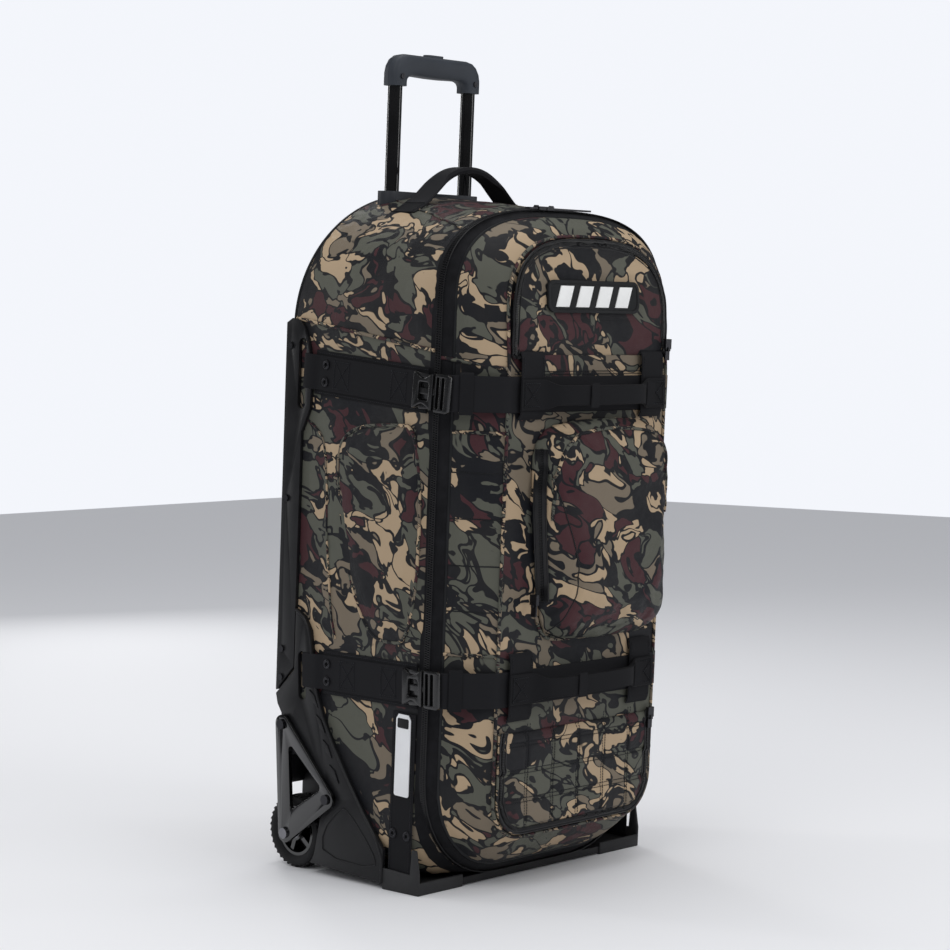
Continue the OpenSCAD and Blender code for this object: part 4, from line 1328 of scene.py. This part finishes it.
tag = [(-53, 122), (-32, 122), (-30, 124), (-30, 218), (-34, 224), (-51, 224), (-55, 218), (-55, 124)]
piece(new_object("id_tag_vinyl", plate([tag], -HALF_W - 3.9, -HALF_W - 2.3, 0.4)), "bag",
      "tag_plastic", TAG, "id_tag")
window_hole = oblong(-52, -33, 207, 219, 2)
piece(new_object("id_tag_window", plate([window_hole], -HALF_W - 4.5, -HALF_W - 3.8, 0.2)), "bag",
      "badge_rubber", BADGE)

BADGE_MIDDLE, BADGE_LIFT = 741, 6.6


def badge_plate(outlines, low, high, bevel):
    """A plate drawn upright and then tilted to the lid's upper face."""
    bm = plate(outlines, BADGE_LIFT + low, BADGE_LIFT + high, bevel, axis="y")
    turn = Matrix.Rotation(-FACET_TILT, 4, "X")
    hub = front_point(0, BADGE_MIDDLE)
    bm.transform(Matrix.Translation(hub) @ turn @ Matrix.Translation(-Vector((0, 0, BADGE_MIDDLE))))
    return bm


badge_edge, badge_lip = oblong(-86, 86, 721, 761, 11), oblong(-82, 82, 725, 757, 8)
base = [badge_plate([badge_edge], 0, 3.2, 0.9), badge_plate([badge_edge, badge_lip], 2.9, 4.0, 0.4)]
bars = [badge_plate([[(x - 15, 728), (x + 9, 728), (x + 19, 754), (x - 5, 754)]], 3.0, 5.0, 0.8)
        for x in (-58, -21, 16, 53)]
piece(new_object("badge_base", joined(base)), "lid", "badge_rubber", BADGE, "badge")
piece(new_object("badge_bars", joined(bars)), "lid", "badge_rubber", WHITE)
print("plates done")

# %% [markdown]
# ## Hard parts with softened edges
# A moulding never has knife edges: a narrow bevel catches the light along them. The packed
# meshes are copied, their flat faces joined, and bevelled; their sizes stay.
# %% Refined mouldings
for part, finish, slot, bevel in (
        ("rail", SLED, "sled_plastic", 0.9), ("side_plate", SLED, "sled_plastic", 0.9),
        ("foot", FOOT, "foot_plastic", 1.2), ("wheel_bracket", GLOSS, "bracket_plastic", 1.5)):
    for side_name in ("left", "right"):
        refined(part + "_" + side_name, "bag", slot, finish, bevel)
refined("handle_bezel", "bag", "grip_plastic", BEZEL, 2.0)
drawn = [ON_BOARD @ v.co for v in frame["nodes"]["grip_front_shell"].data.vertices]
GRIP_Z, TUBE_Y = min(p.z for p in drawn), max(p.y for p in drawn) + 0.1
half_outline = [((-81, 0), (-55, 0)), ((-81, 4), (-55, 3)), ((-81, 10), (-55, 6)),
                ((-81, 17), (-54.2, 8.5)), ((-79.2, 26), (-52.5, 10.5)), ((-74, 34.5), (-49.5, 12.3)),
                ((-66.5, 39.6), (-46, 13.5)), ((-57, 41.5), (-42, 14)), ((-45, 41.5), (-34, 13.8)),
                ((-30, 41.5), (-24, 13.4)), ((-15, 41.5), (-12, 13)), ((0, 41.5), (0, 13))]
grip_outline = half_outline + [((-a[0], a[1]), (-b[0], b[1])) for a, b in half_outline[-2::-1]]


def grip_half(side):
    """Half of the grip, front for side -1: half superellipses between both outlines."""
    rings = []
    for outer, inner in grip_outline:
        a, b = (Vector((x, TUBE_Y, GRIP_Z + z)) for x, z in (outer, inner))
        middle, reach = (a + b) / 2, (a - b) / 2
        angles = [math.pi * k / 12 for k in range(13)]
        rings.append([middle + reach * math.copysign(abs(math.cos(t)) ** 0.6, math.cos(t)) +
                      Vector((0, side * (0.15 + 12.85 * math.sin(t) ** 0.6), 0)) for t in angles])
    bm = grid(rings, cap_start=True, cap_end=True)
    bmesh.ops.recalc_face_normals(bm, faces=bm.faces)
    return bm


for side, node in ((-1, "grip_front_shell"), (1, "grip_rear_shell")):
    piece(new_object(node + "_moulding", grip_half(side)), "handle", "grip_plastic", GRIP, node, flat=40)
refined("release_button", "button", "grip_plastic", GRIP, 1.0)


def plate_details(side):
    """Raised rim, recessed panel and ribs of a side plate."""
    out = HALF_W + 5.4
    edge = [(-16, 9), (-16, 50), (32, 104), (91, 183), (114, 231), (122, 270), (128, 305), (140, 322),
            (155, 330)]
    parts = [tube(resample(rounded([(side * (out - 0.2), y + 1.2, z - 1.0) for y, z in edge], 1), 6), 2.1)]
    frame_line = [(92, 22), (94, 54), (62, 88), (50, 90), (2, 46), (-8, 23)]
    ring = rounded([(side * (out - 0.1), y, z) for y, z in frame_line], 1, closed=True)
    parts.append(tube(resample(ring, 5, True), 1.2, closed=True))
    for k in range(4):
        y, z = 72 + 14 * k, 128 + 30 * k
        bar = [(y - 6, z - 9), (y + 4, z - 3), (y + 12, z + 12), (y + 2, z + 6)]
        low, high = sorted((side * (out - 0.4), side * (out + 1.6)))
        parts.append(plate([bar], low, high, 0.4))
    return joined(parts)


for side, side_name in SIDES:
    piece(new_object("side_plate_%s_ribs" % side_name, plate_details(side)), "bag", "sled_plastic", SLED)
print("refined mouldings:", sum(o.name.endswith("_moulding") for o in MADE))

# %% [markdown]
# ## What repeats, by Geometry Nodes
# Zip teeth, stitches, tread blocks and eyelets are the same small shape at even steps along a
# line. One tree does the first three: a polyline becomes a curve, is resampled at the pitch,
# and gets a block at each point, turned so that its length follows the line. Its sizes are
# named inputs. The result is realized and baked to a plain mesh.
# %% The tree for rows of blocks


def node_tree(name, sockets):
    """A geometry tree with named inputs, and its input and output nodes."""
    tree = bpy.data.node_groups.new(name, "GeometryNodeTree")
    tree.interface.new_socket("Geometry", in_out="INPUT", socket_type="NodeSocketGeometry")
    tree.interface.new_socket("Geometry", in_out="OUTPUT", socket_type="NodeSocketGeometry")
    for label, kind, value in sockets:
        socket = tree.interface.new_socket(label, in_out="INPUT", socket_type="NodeSocket" + kind)
        if value is not None:
            socket.default_value = value
    return tree, tree.nodes.new("NodeGroupInput"), tree.nodes.new("NodeGroupOutput")


def wire(tree, kind, inputs, **props):
    """Shader.add for any node tree."""
    n = tree.nodes.new(kind)
    for key, value in props.items():
        setattr(n, key, value)
    for key, value in inputs.items():
        if isinstance(value, bpy.types.NodeSocket):
            tree.links.new(value, n.inputs[key])
        else:
            n.inputs[key].default_value = value
    return n


def dress(tree, instances, finish, out):
    """End a tree: make the instances real, give them their finish and hand them out."""
    real = wire(tree, "GeometryNodeRealizeInstances", {"Geometry": instances})
    dressed = wire(tree, "GeometryNodeSetMaterial", {"Geometry": real.outputs[0], "Material": finish})
    tree.links.new(dressed.outputs[0], out.inputs[0])
    return tree


def row_tree():
    """Blocks at even steps along a line."""
    tree, inp, out = node_tree("row_of_blocks", (
        ("Pitch", "Float", 2.0), ("Size", "Vector", (1, 1, 1)), ("Across", "Vector", (0, 1, 0)),
        ("Slant", "Float", 0.0), ("Finish", "Material", None)))
    get = inp.outputs
    curve = wire(tree, "GeometryNodeMeshToCurve", {"Mesh": get["Geometry"]})
    points = wire(tree, "GeometryNodeResampleCurve", {"Curve": curve.outputs[0],
                  "Length": get["Pitch"]}, mode="LENGTH")
    along = tree.nodes.new("GeometryNodeInputTangent")
    turned = wire(tree, "FunctionNodeAxesToRotation", {"Primary Axis": along.outputs[0],
                  "Secondary Axis": get["Across"]}, primary_axis="X", secondary_axis="Y")
    slant = wire(tree, "FunctionNodeAxisAngleToRotation", {"Axis": (0, 0, 1), "Angle": get["Slant"]})
    both = wire(tree, "FunctionNodeRotateRotation", {"Rotation": turned.outputs[0],
                "Rotate By": slant.outputs[0]}, rotation_space="LOCAL")
    block = wire(tree, "GeometryNodeMeshCube", {"Size": get["Size"]})
    placed = wire(tree, "GeometryNodeInstanceOnPoints", {"Points": points.outputs[0],
                  "Instance": block.outputs[0], "Rotation": both.outputs[0]})
    return dress(tree, placed.outputs[0], get["Finish"], out)


def eyelet_tree():
    """A rolled ring at each point."""
    tree, inp, out = node_tree("eyelets", (
        ("Radius", "Float", 4.2), ("Wire", "Float", 1.7), ("Facing", "Vector", (1, 0, 0)),
        ("Finish", "Material", None)))
    get = inp.outputs
    ring = wire(tree, "GeometryNodeCurvePrimitiveCircle", {"Resolution": 20, "Radius": get["Radius"]})
    section = wire(tree, "GeometryNodeCurvePrimitiveCircle", {"Resolution": 8, "Radius": get["Wire"]})
    torus = wire(tree, "GeometryNodeCurveToMesh", {"Curve": ring.outputs[0],
                 "Profile Curve": section.outputs[0]})
    facing = wire(tree, "FunctionNodeAxesToRotation", {"Primary Axis": get["Facing"],
                  "Secondary Axis": (0, 1, 0)}, primary_axis="Z", secondary_axis="X")
    placed = wire(tree, "GeometryNodeInstanceOnPoints", {"Points": get["Geometry"],
                  "Instance": torus.outputs[0], "Rotation": facing.outputs[0]})
    return dress(tree, placed.outputs[0], get["Finish"], out)


ROW, EYELETS = row_tree(), eyelet_tree()


def repeat(paths, tree, **values):
    """The baked result of a tree on polylines (or points), as a bmesh on the board."""
    bm = bmesh.new()
    for path in paths:
        verts = [bm.verts.new(p) for p in path]
        for a, b in zip(verts, verts[1:]):
            if tree is ROW:
                bm.edges.new((a, b))
    obj = new_object("row", bm)
    m = obj.modifiers.new("repeat", "NODES")
    m.node_group = tree
    ids = {item.name: item.identifier for item in tree.interface.items_tree if item.in_out == "INPUT"}
    for label, value in values.items():
        m[ids[label]] = value
    bake(obj)
    result = bmesh.new()
    result.from_mesh(obj.data)
    bpy.data.objects.remove(obj)
    return result


print("trees:", ROW.name, EYELETS.name)

# %% [markdown]
# ## Zips
# The main zip runs down one side, under the bag and over the top, with the hinge side left
# out. Its teeth belong half to the bag and half to the lid, so they part when the lid opens.
# The pockets have lighter coil zips on a dark tape.
# %% Zips


def at_hinge(p):
    """Whether a point of the zip's ring belongs to the hinge."""
    return p.x > 150 and HINGE_LOW < p.z < HINGE_HIGH


def zip_run(ring):
    """The part of a ring that the zip follows: not the hinge side."""
    start = next(i for i, p in enumerate(ring) if at_hinge(p))
    return [p for p in ring[start:] + ring[:start] if not at_hinge(p)]


def zip_half(name, body, y, shift):
    """The teeth and cords of one half at depth y; shift sets the lid's teeth between the bag's."""
    route = resample(zip_run([Vector((p.x, y, p.z)) for p in key_ring(ZIP_Y, *ZIP, 2.0)]), 4)
    route = resample(route[1:], 4) if shift else route
    teeth = repeat([route], ROW, Pitch=2.9, Size=(1.15, 3.3, 1.8), Across=(0, 1, 0), Finish=COIL)
    cords = [tube([p + Vector((0, d, 0)) for p in route], 0.7, sides=6) for d in (-2.1, 2.1)]
    return piece(new_object(name, joined([teeth] + cords)), body, "zip_tape", COIL, flat=30)


zip_half("main_zip_coil_bag", "bag", ZIP_Y + 1.9, 0)
zip_half("main_zip_coil_lid", "lid", ZIP_Y - 2.1, 1)


def flat_band(route, face, width, thick):
    """A tape along a route that lies on a face with that normal."""
    face = Vector(face)
    rings = []
    for i, p in enumerate(route):
        along = (route[min(i + 1, len(route) - 1)] - route[max(i - 1, 0)]).normalized()
        side = face.cross(along).normalized() * (width / 2)
        up = face * (thick / 2)
        rings.append([p - side + up, p + side + up, p + side - up, p - side - up])
    bm = grid(rings, cap_start=True, cap_end=True)
    bmesh.ops.recalc_face_normals(bm, faces=bm.faces)
    return bm


def pocket_zip(name, route, face=(0, -1, 0), width=11):
    """A coil on a tape, with a raised cord along both edges."""
    route = resample(route, 3)
    face = Vector(face).normalized()
    tape = flat_band(route, face, width, 1.2)
    above = [p + face * 1.3 for p in route]
    across = face.cross(Vector((0, 0, 1))).normalized()
    teeth = repeat([above], ROW, Pitch=2.0, Size=(1.1, 4.2, 1.6), Across=across, Finish=COIL)
    edges = []
    for s in (-1, 1):
        line = []
        for i, p in enumerate(route):
            along = (route[min(i + 1, len(route) - 1)] - route[max(i - 1, 0)]).normalized()
            line.append(p + face.cross(along).normalized() * (s * width * 0.46) + face * 0.8)
        edges.append(tube(line, 1.1, sides=6))
    return piece(new_object(name, joined([tape, teeth] + edges)), "lid", "zip_tape", COIL)


arch = [front_point(x, z, 6.4) for x, z in outline(*LID_FRONT, -8) if z > 664]
start = max(range(len(arch) - 1), key=lambda i: (arch[i] - arch[i + 1]).length) + 1
arch = arch[start:] + arch[:start]
arch = arch if arch[0].x < 0 else arch[::-1]
pocket_zip("top_pocket_zip_coil", lie_on(top_pocket, arch, (0, -1, 0), 0.3))
under = [front_point(x, z, 6.0) for x, z in outline(*LID_FRONT, -10) if z < 214]
start = max(range(len(under) - 1), key=lambda i: (under[i] - under[i + 1]).length)
under = under[start + 1:] + under[:start + 1] if (under[0] - under[-1]).length < 40 else under
pocket_zip("lower_pocket_zip_coil", lie_on(lower_pocket, under, (0, -1, 0), 0.3))
side_zip = rounded([(-97, -153, 556), (-103.5, -157, 520), (-104, -158, 450), (-98, -157, 400),
                    (-90, -154, 368)], 2)
GUSSET_FACE = (-0.93, -0.37, 0)
pocket_zip("big_pocket_zip_coil", lie_on(big_pocket, side_zip, GUSSET_FACE, 0.6, 6.0),
           face=GUSSET_FACE, width=17)
print("zips:", [o.name for o in MADE[-5:]])

# %% [markdown]
# ## Stitches and eyelets
# Thread shows where webbing is sewn down: a box with a cross at each end of a strap, and lines
# along strap edges, the lower pocket's quilting and one lid seam. The eyelets are rolled rings over the
# plain CAD rivets.
# %% Stitching


def box_x(centre, u, w, du, dw):
    """Paths of a box and cross stitch; u and w are unit directions."""
    c = [centre + u * (a * du / 2) + w * (b * dw / 2) for a, b in ((-1, -1), (1, -1), (1, 1), (-1, 1))]
    return [[c[0], c[1]], [c[1], c[2]], [c[2], c[3]], [c[3], c[0]], [c[0], c[2]], [c[1], c[3]]]


def long(path):
    """A line of stitches drawn evenly, so that it bends with its path."""
    return resample(path, 3.0)


bag_lines, lid_lines = [], []
for side in (-1, 1):
    for at, rear_y in STRAPS_BACK:
        x = side * (HALF_W + 4.25)
        w = strap_normal(at).normalized()
        for y in (rear_y - 52, BUCKLE_Y + 30):
            hub = on_strap((x, y, 0), at)
            u = (on_strap((x, y + 1, 0), at) - hub).normalized()
            bag_lines += box_x(hub, u, w, 26, 34)
        for edge in (-25, 25):
            bag_lines.append(long([on_strap((side * (HALF_W + 1.9), y, edge), at)
                                   for y in range(ZIP_Y + 16, rear_y - 2, 10)]))
    for y in (-58.5, -25.5):
        bag_lines.append(long([Vector((side * (HALF_W + 2.3), y, z)) for z in range(20, 224, 8)]))
    bag_lines.append([Vector((side * (HALF_W + 2.3), y, 220)) for y in (-58, -26)])
for y in (72, 104):
    for s in (-1, 1):
        bag_lines.append([Vector((s * 92, y, 850.5)), Vector((s * 110, y, 841.5))])
for _, z, low, high in HAUL_HANDLES:
    y = FRONT_Y - 8.9
    for s in (-1, 1):
        hub = Vector((s * 117, y - 3.9, z))
        lid_lines += box_x(hub, Vector((1, 0, 0)), Vector((0, 0, 1)), 28, 28)
        for edge in (-17, 17):
            for ends in ((low + 8, z - 22), (z + 22, high - 8)):
                lid_lines.append(long([Vector((s * RISER_X + edge, y + 0.1, end)) for end in ends]))
grid_lines = [((x + d, 94), (x + d, 216)) for x in GRID_X for d in (-2.4, 2.4)]
grid_lines += [((-126, z + d), (126, z + d)) for z in GRID_Z for d in (-2.4, 2.4)]
for ends in grid_lines:
    lid_lines.append(lie_on(lower_pocket, [Vector((x, FRONT_Y - 8, z)) for x, z in ends], (0, -1, 0), 0.2))
seam_y = FRONT_Y - 3.0
lid_lines += [long([Vector((x, seam_y, z)) for x in range(-140, 141, 10)]) for z in (650, 646.5)]


def stitches(name, body, lines):
    """All the thread on one body."""
    thread = repeat(lines, ROW, Pitch=3.4, Size=(2.5, 0.75, 0.75), Across=(0.3, 0.5, 0.81), Finish=THREAD)
    return piece(new_object(name, thread), body, "webbing", THREAD, flat=30)


stitches("stitches_bag", "bag", bag_lines)
stitches("stitches_lid", "lid", lid_lines)
spots = [on_strap((s * (HALF_W + 4.9), y, w), at) for s in (-1, 1) for w in (-11, 11)
         for at, y in ((UPPER, 116), (LOWER, 96))]
spots += [Vector((s * (HALF_W + 2.9), y, 74)) for s in (-1, 1) for y in (-54, -30)]
rings = repeat([[p] for p in spots], EYELETS, Radius=4.2, Wire=1.6, Facing=(1, 0, 0), Finish=DARK_STEEL)
piece(new_object("eyelet_rings", rings), "bag", "steel", DARK_STEEL, flat=60)
print("stitch lines:", len(bag_lines) + len(lid_lines), "eyelets:", len(spots))

# %% [markdown]
# ## Wheels
# The tyre is turned from one profile. Its tread is three rings of slanted blocks, which the
# row tree sets round the wheel, so that they turn with it.
# %% Tyres


def tyre(side, body):
    """The turned tyre and its three rings of tread."""
    hub = Vector((side * (HALF_W - WHEEL_IN), *AXLE))
    half = [(32.1, 12.5), (35, 15.2), (38, TYRE_HALF), (42, TYRE_HALF), (44, 15.2), (45.0, 12), (45.6, 6)]
    profile = [(r, -x) for r, x in half] + [(45.8, 0)] + half[::-1]
    rings = [[hub + Vector((x, r * math.cos(t), r * math.sin(t))) for r, x in profile]
             for t in (2 * math.pi * k / 72 for k in range(73))]
    body_bm = grid(rings)
    bmesh.ops.remove_doubles(body_bm, verts=body_bm.verts, dist=0.001)
    bmesh.ops.recalc_face_normals(body_bm, faces=body_bm.faces)
    parts = [body_bm]
    for offset, radius, slant in ((-10.5, 45.2, 0.5), (0, 45.9, -0.5), (10.5, 45.2, 0.5)):
        circle = [hub + Vector((offset, radius * math.cos(t), radius * math.sin(t)))
                  for t in (2 * math.pi * k / 96 for k in range(97))]
        parts.append(repeat([circle], ROW, Pitch=7.6, Size=(3.6, 8.6, 2.2), Across=(1, 0, 0),
                            Slant=slant, Finish=RUBBER))
    node = body.replace("wheel", "tyre")
    return piece(new_object(node + "_tread", joined(parts)), body, "tyre_rubber", RUBBER, node, flat=35)


tyre(-1, "wheel_left")
tyre(1, "wheel_right")
print("tyres:", [len(o.data.polygons) for o in MADE[-2:]])

# %% [markdown]
# ## Finishes for the imported parts
# What is left of the CAD model keeps its own meshes and only gets its finish. Each part in the
# record gets the finish of its material slot, and the print gives the number of nodes.
# %% Finishes by material slot
SLOT_FINISH = {"camo_fabric": CAMO, "lining_fabric": LINING, "zip_tape": TAPE, "webbing": WEBBING,
               "sled_plastic": SLED, "foot_plastic": FOOT, "bracket_plastic": GLOSS,
               "buckle_plastic": BUCKLE, "grip_plastic": GRIP, "tube_metal": TUBE, "steel": STEEL,
               "slider_metal": SILVER, "tyre_rubber": RUBBER, "badge_rubber": BADGE,
               "plug_plastic": PLUG, "tag_plastic": TAG}
for part in frame["record"]["subparts"]:
    node = frame["nodes"][part["node"]]
    node.data.materials.clear()
    node.data.materials.append(SLOT_FINISH[part["material_slot"]])
    node.data.shade_smooth()
    node.data.set_sharp_from_angle(angle=math.radians(30))
frame["nodes"]["handle_bezel"].data.materials[0] = BEZEL
for name in ("bracket_bolts", "rail_screws", "strap_rivets", "grip_screws", "top_pocket_slider",
             "big_pocket_slider", "lower_pocket_slider", "zip_slider_left", "zip_slider_right"):
    frame["nodes"][name].data.materials[0] = DARK_STEEL
print("dressed nodes:", len(frame["nodes"]))

# %% [markdown]
# ## Studio
# A pale floor, a pale room and six lamps: three large ones on the left, in front and overhead,
# and three narrow strips that draw the long highlights down the tubes and rails. Gloss sees a
# darker room than cloth does, so that black plastic stays black, and the camera a brighter one.
# %% Floor, lamps and camera
CAMERA_AT = Vector((-2.266, -2.127, 0.667))
CAMERA_AZIMUTH, CAMERA_DROP, CAMERA_LENS = math.radians(-46.5), math.radians(2.97), 90.87
bm = bmesh.new()
bmesh.ops.create_grid(bm, x_segments=1, y_segments=1, size=6)
floor = new_object("studio_floor", bm)
paper = Shader("studio_paper", 0.75, spec=0.2)
floor.data.materials.append(paper.finish((0.86, 0.86, 0.87, 1)))

ROOM_LIGHT, ROOM_IN_GLOSS, ROOM_SEEN = 0.55, 0.10, 0.42
world = bpy.data.worlds.new("studio_room")
bpy.context.scene.world = world
world.use_nodes = True
room = world.node_tree
background = room.nodes["Background"]
background.inputs["Color"].default_value = (0.93, 0.95, 1.0, 1)
ray = wire(room, "ShaderNodeLightPath", {})
room_light = wire(room, "ShaderNodeMapRange", {"Value": ray.outputs["Is Glossy Ray"],
                  "To Min": ROOM_LIGHT, "To Max": ROOM_IN_GLOSS})
seen = wire(room, "ShaderNodeMath", {0: ray.outputs["Is Camera Ray"], 1: ROOM_SEEN,
            2: room_light.outputs[0]}, operation="MULTIPLY_ADD")
room.links.new(seen.outputs[0], background.inputs["Strength"])
bpy.context.scene.view_settings.view_transform = "Standard"
for name, at, size, watts in (("key_lamp", (-1.9, -0.7, 2.3), (1.2, 1.4), 13),
                              ("front_lamp", (0.3, -2.4, 2.2), (1.4, 1.4), 17),
                              ("top_lamp", (0.2, 0.1, 2.8), (1.6, 1.6), 18),
                              ("back_strip", (1.2, 2.4, 1.4), (0.5, 1.8), 10),
                              ("left_strip", (-1.2, 2.6, 1.3), (0.3, 2.0), 10),
                              ("right_strip", (2.4, -2.2, 1.2), (0.5, 2.0), 9)):
    data = bpy.data.lights.new(name, "AREA")
    data.shape, data.size, data.size_y, data.energy = "RECTANGLE", *size, watts
    lamp = bpy.data.objects.new(name, data)
    lamp.location = at
    lamp.rotation_euler = (Vector((0, 0, 0.5)) - Vector(at)).to_track_quat("-Z", "Y").to_euler()
    bpy.context.scene.collection.objects.link(lamp)

camera = bpy.data.objects.new("camera", bpy.data.cameras.new("camera"))
camera.location = CAMERA_AT
camera.rotation_euler = (math.radians(90) - CAMERA_DROP, 0, CAMERA_AZIMUTH)
camera.data.lens = CAMERA_LENS
bpy.context.scene.collection.objects.link(camera)
bpy.context.scene.camera = camera
print("camera at", tuple(round(c, 3) for c in CAMERA_AT))
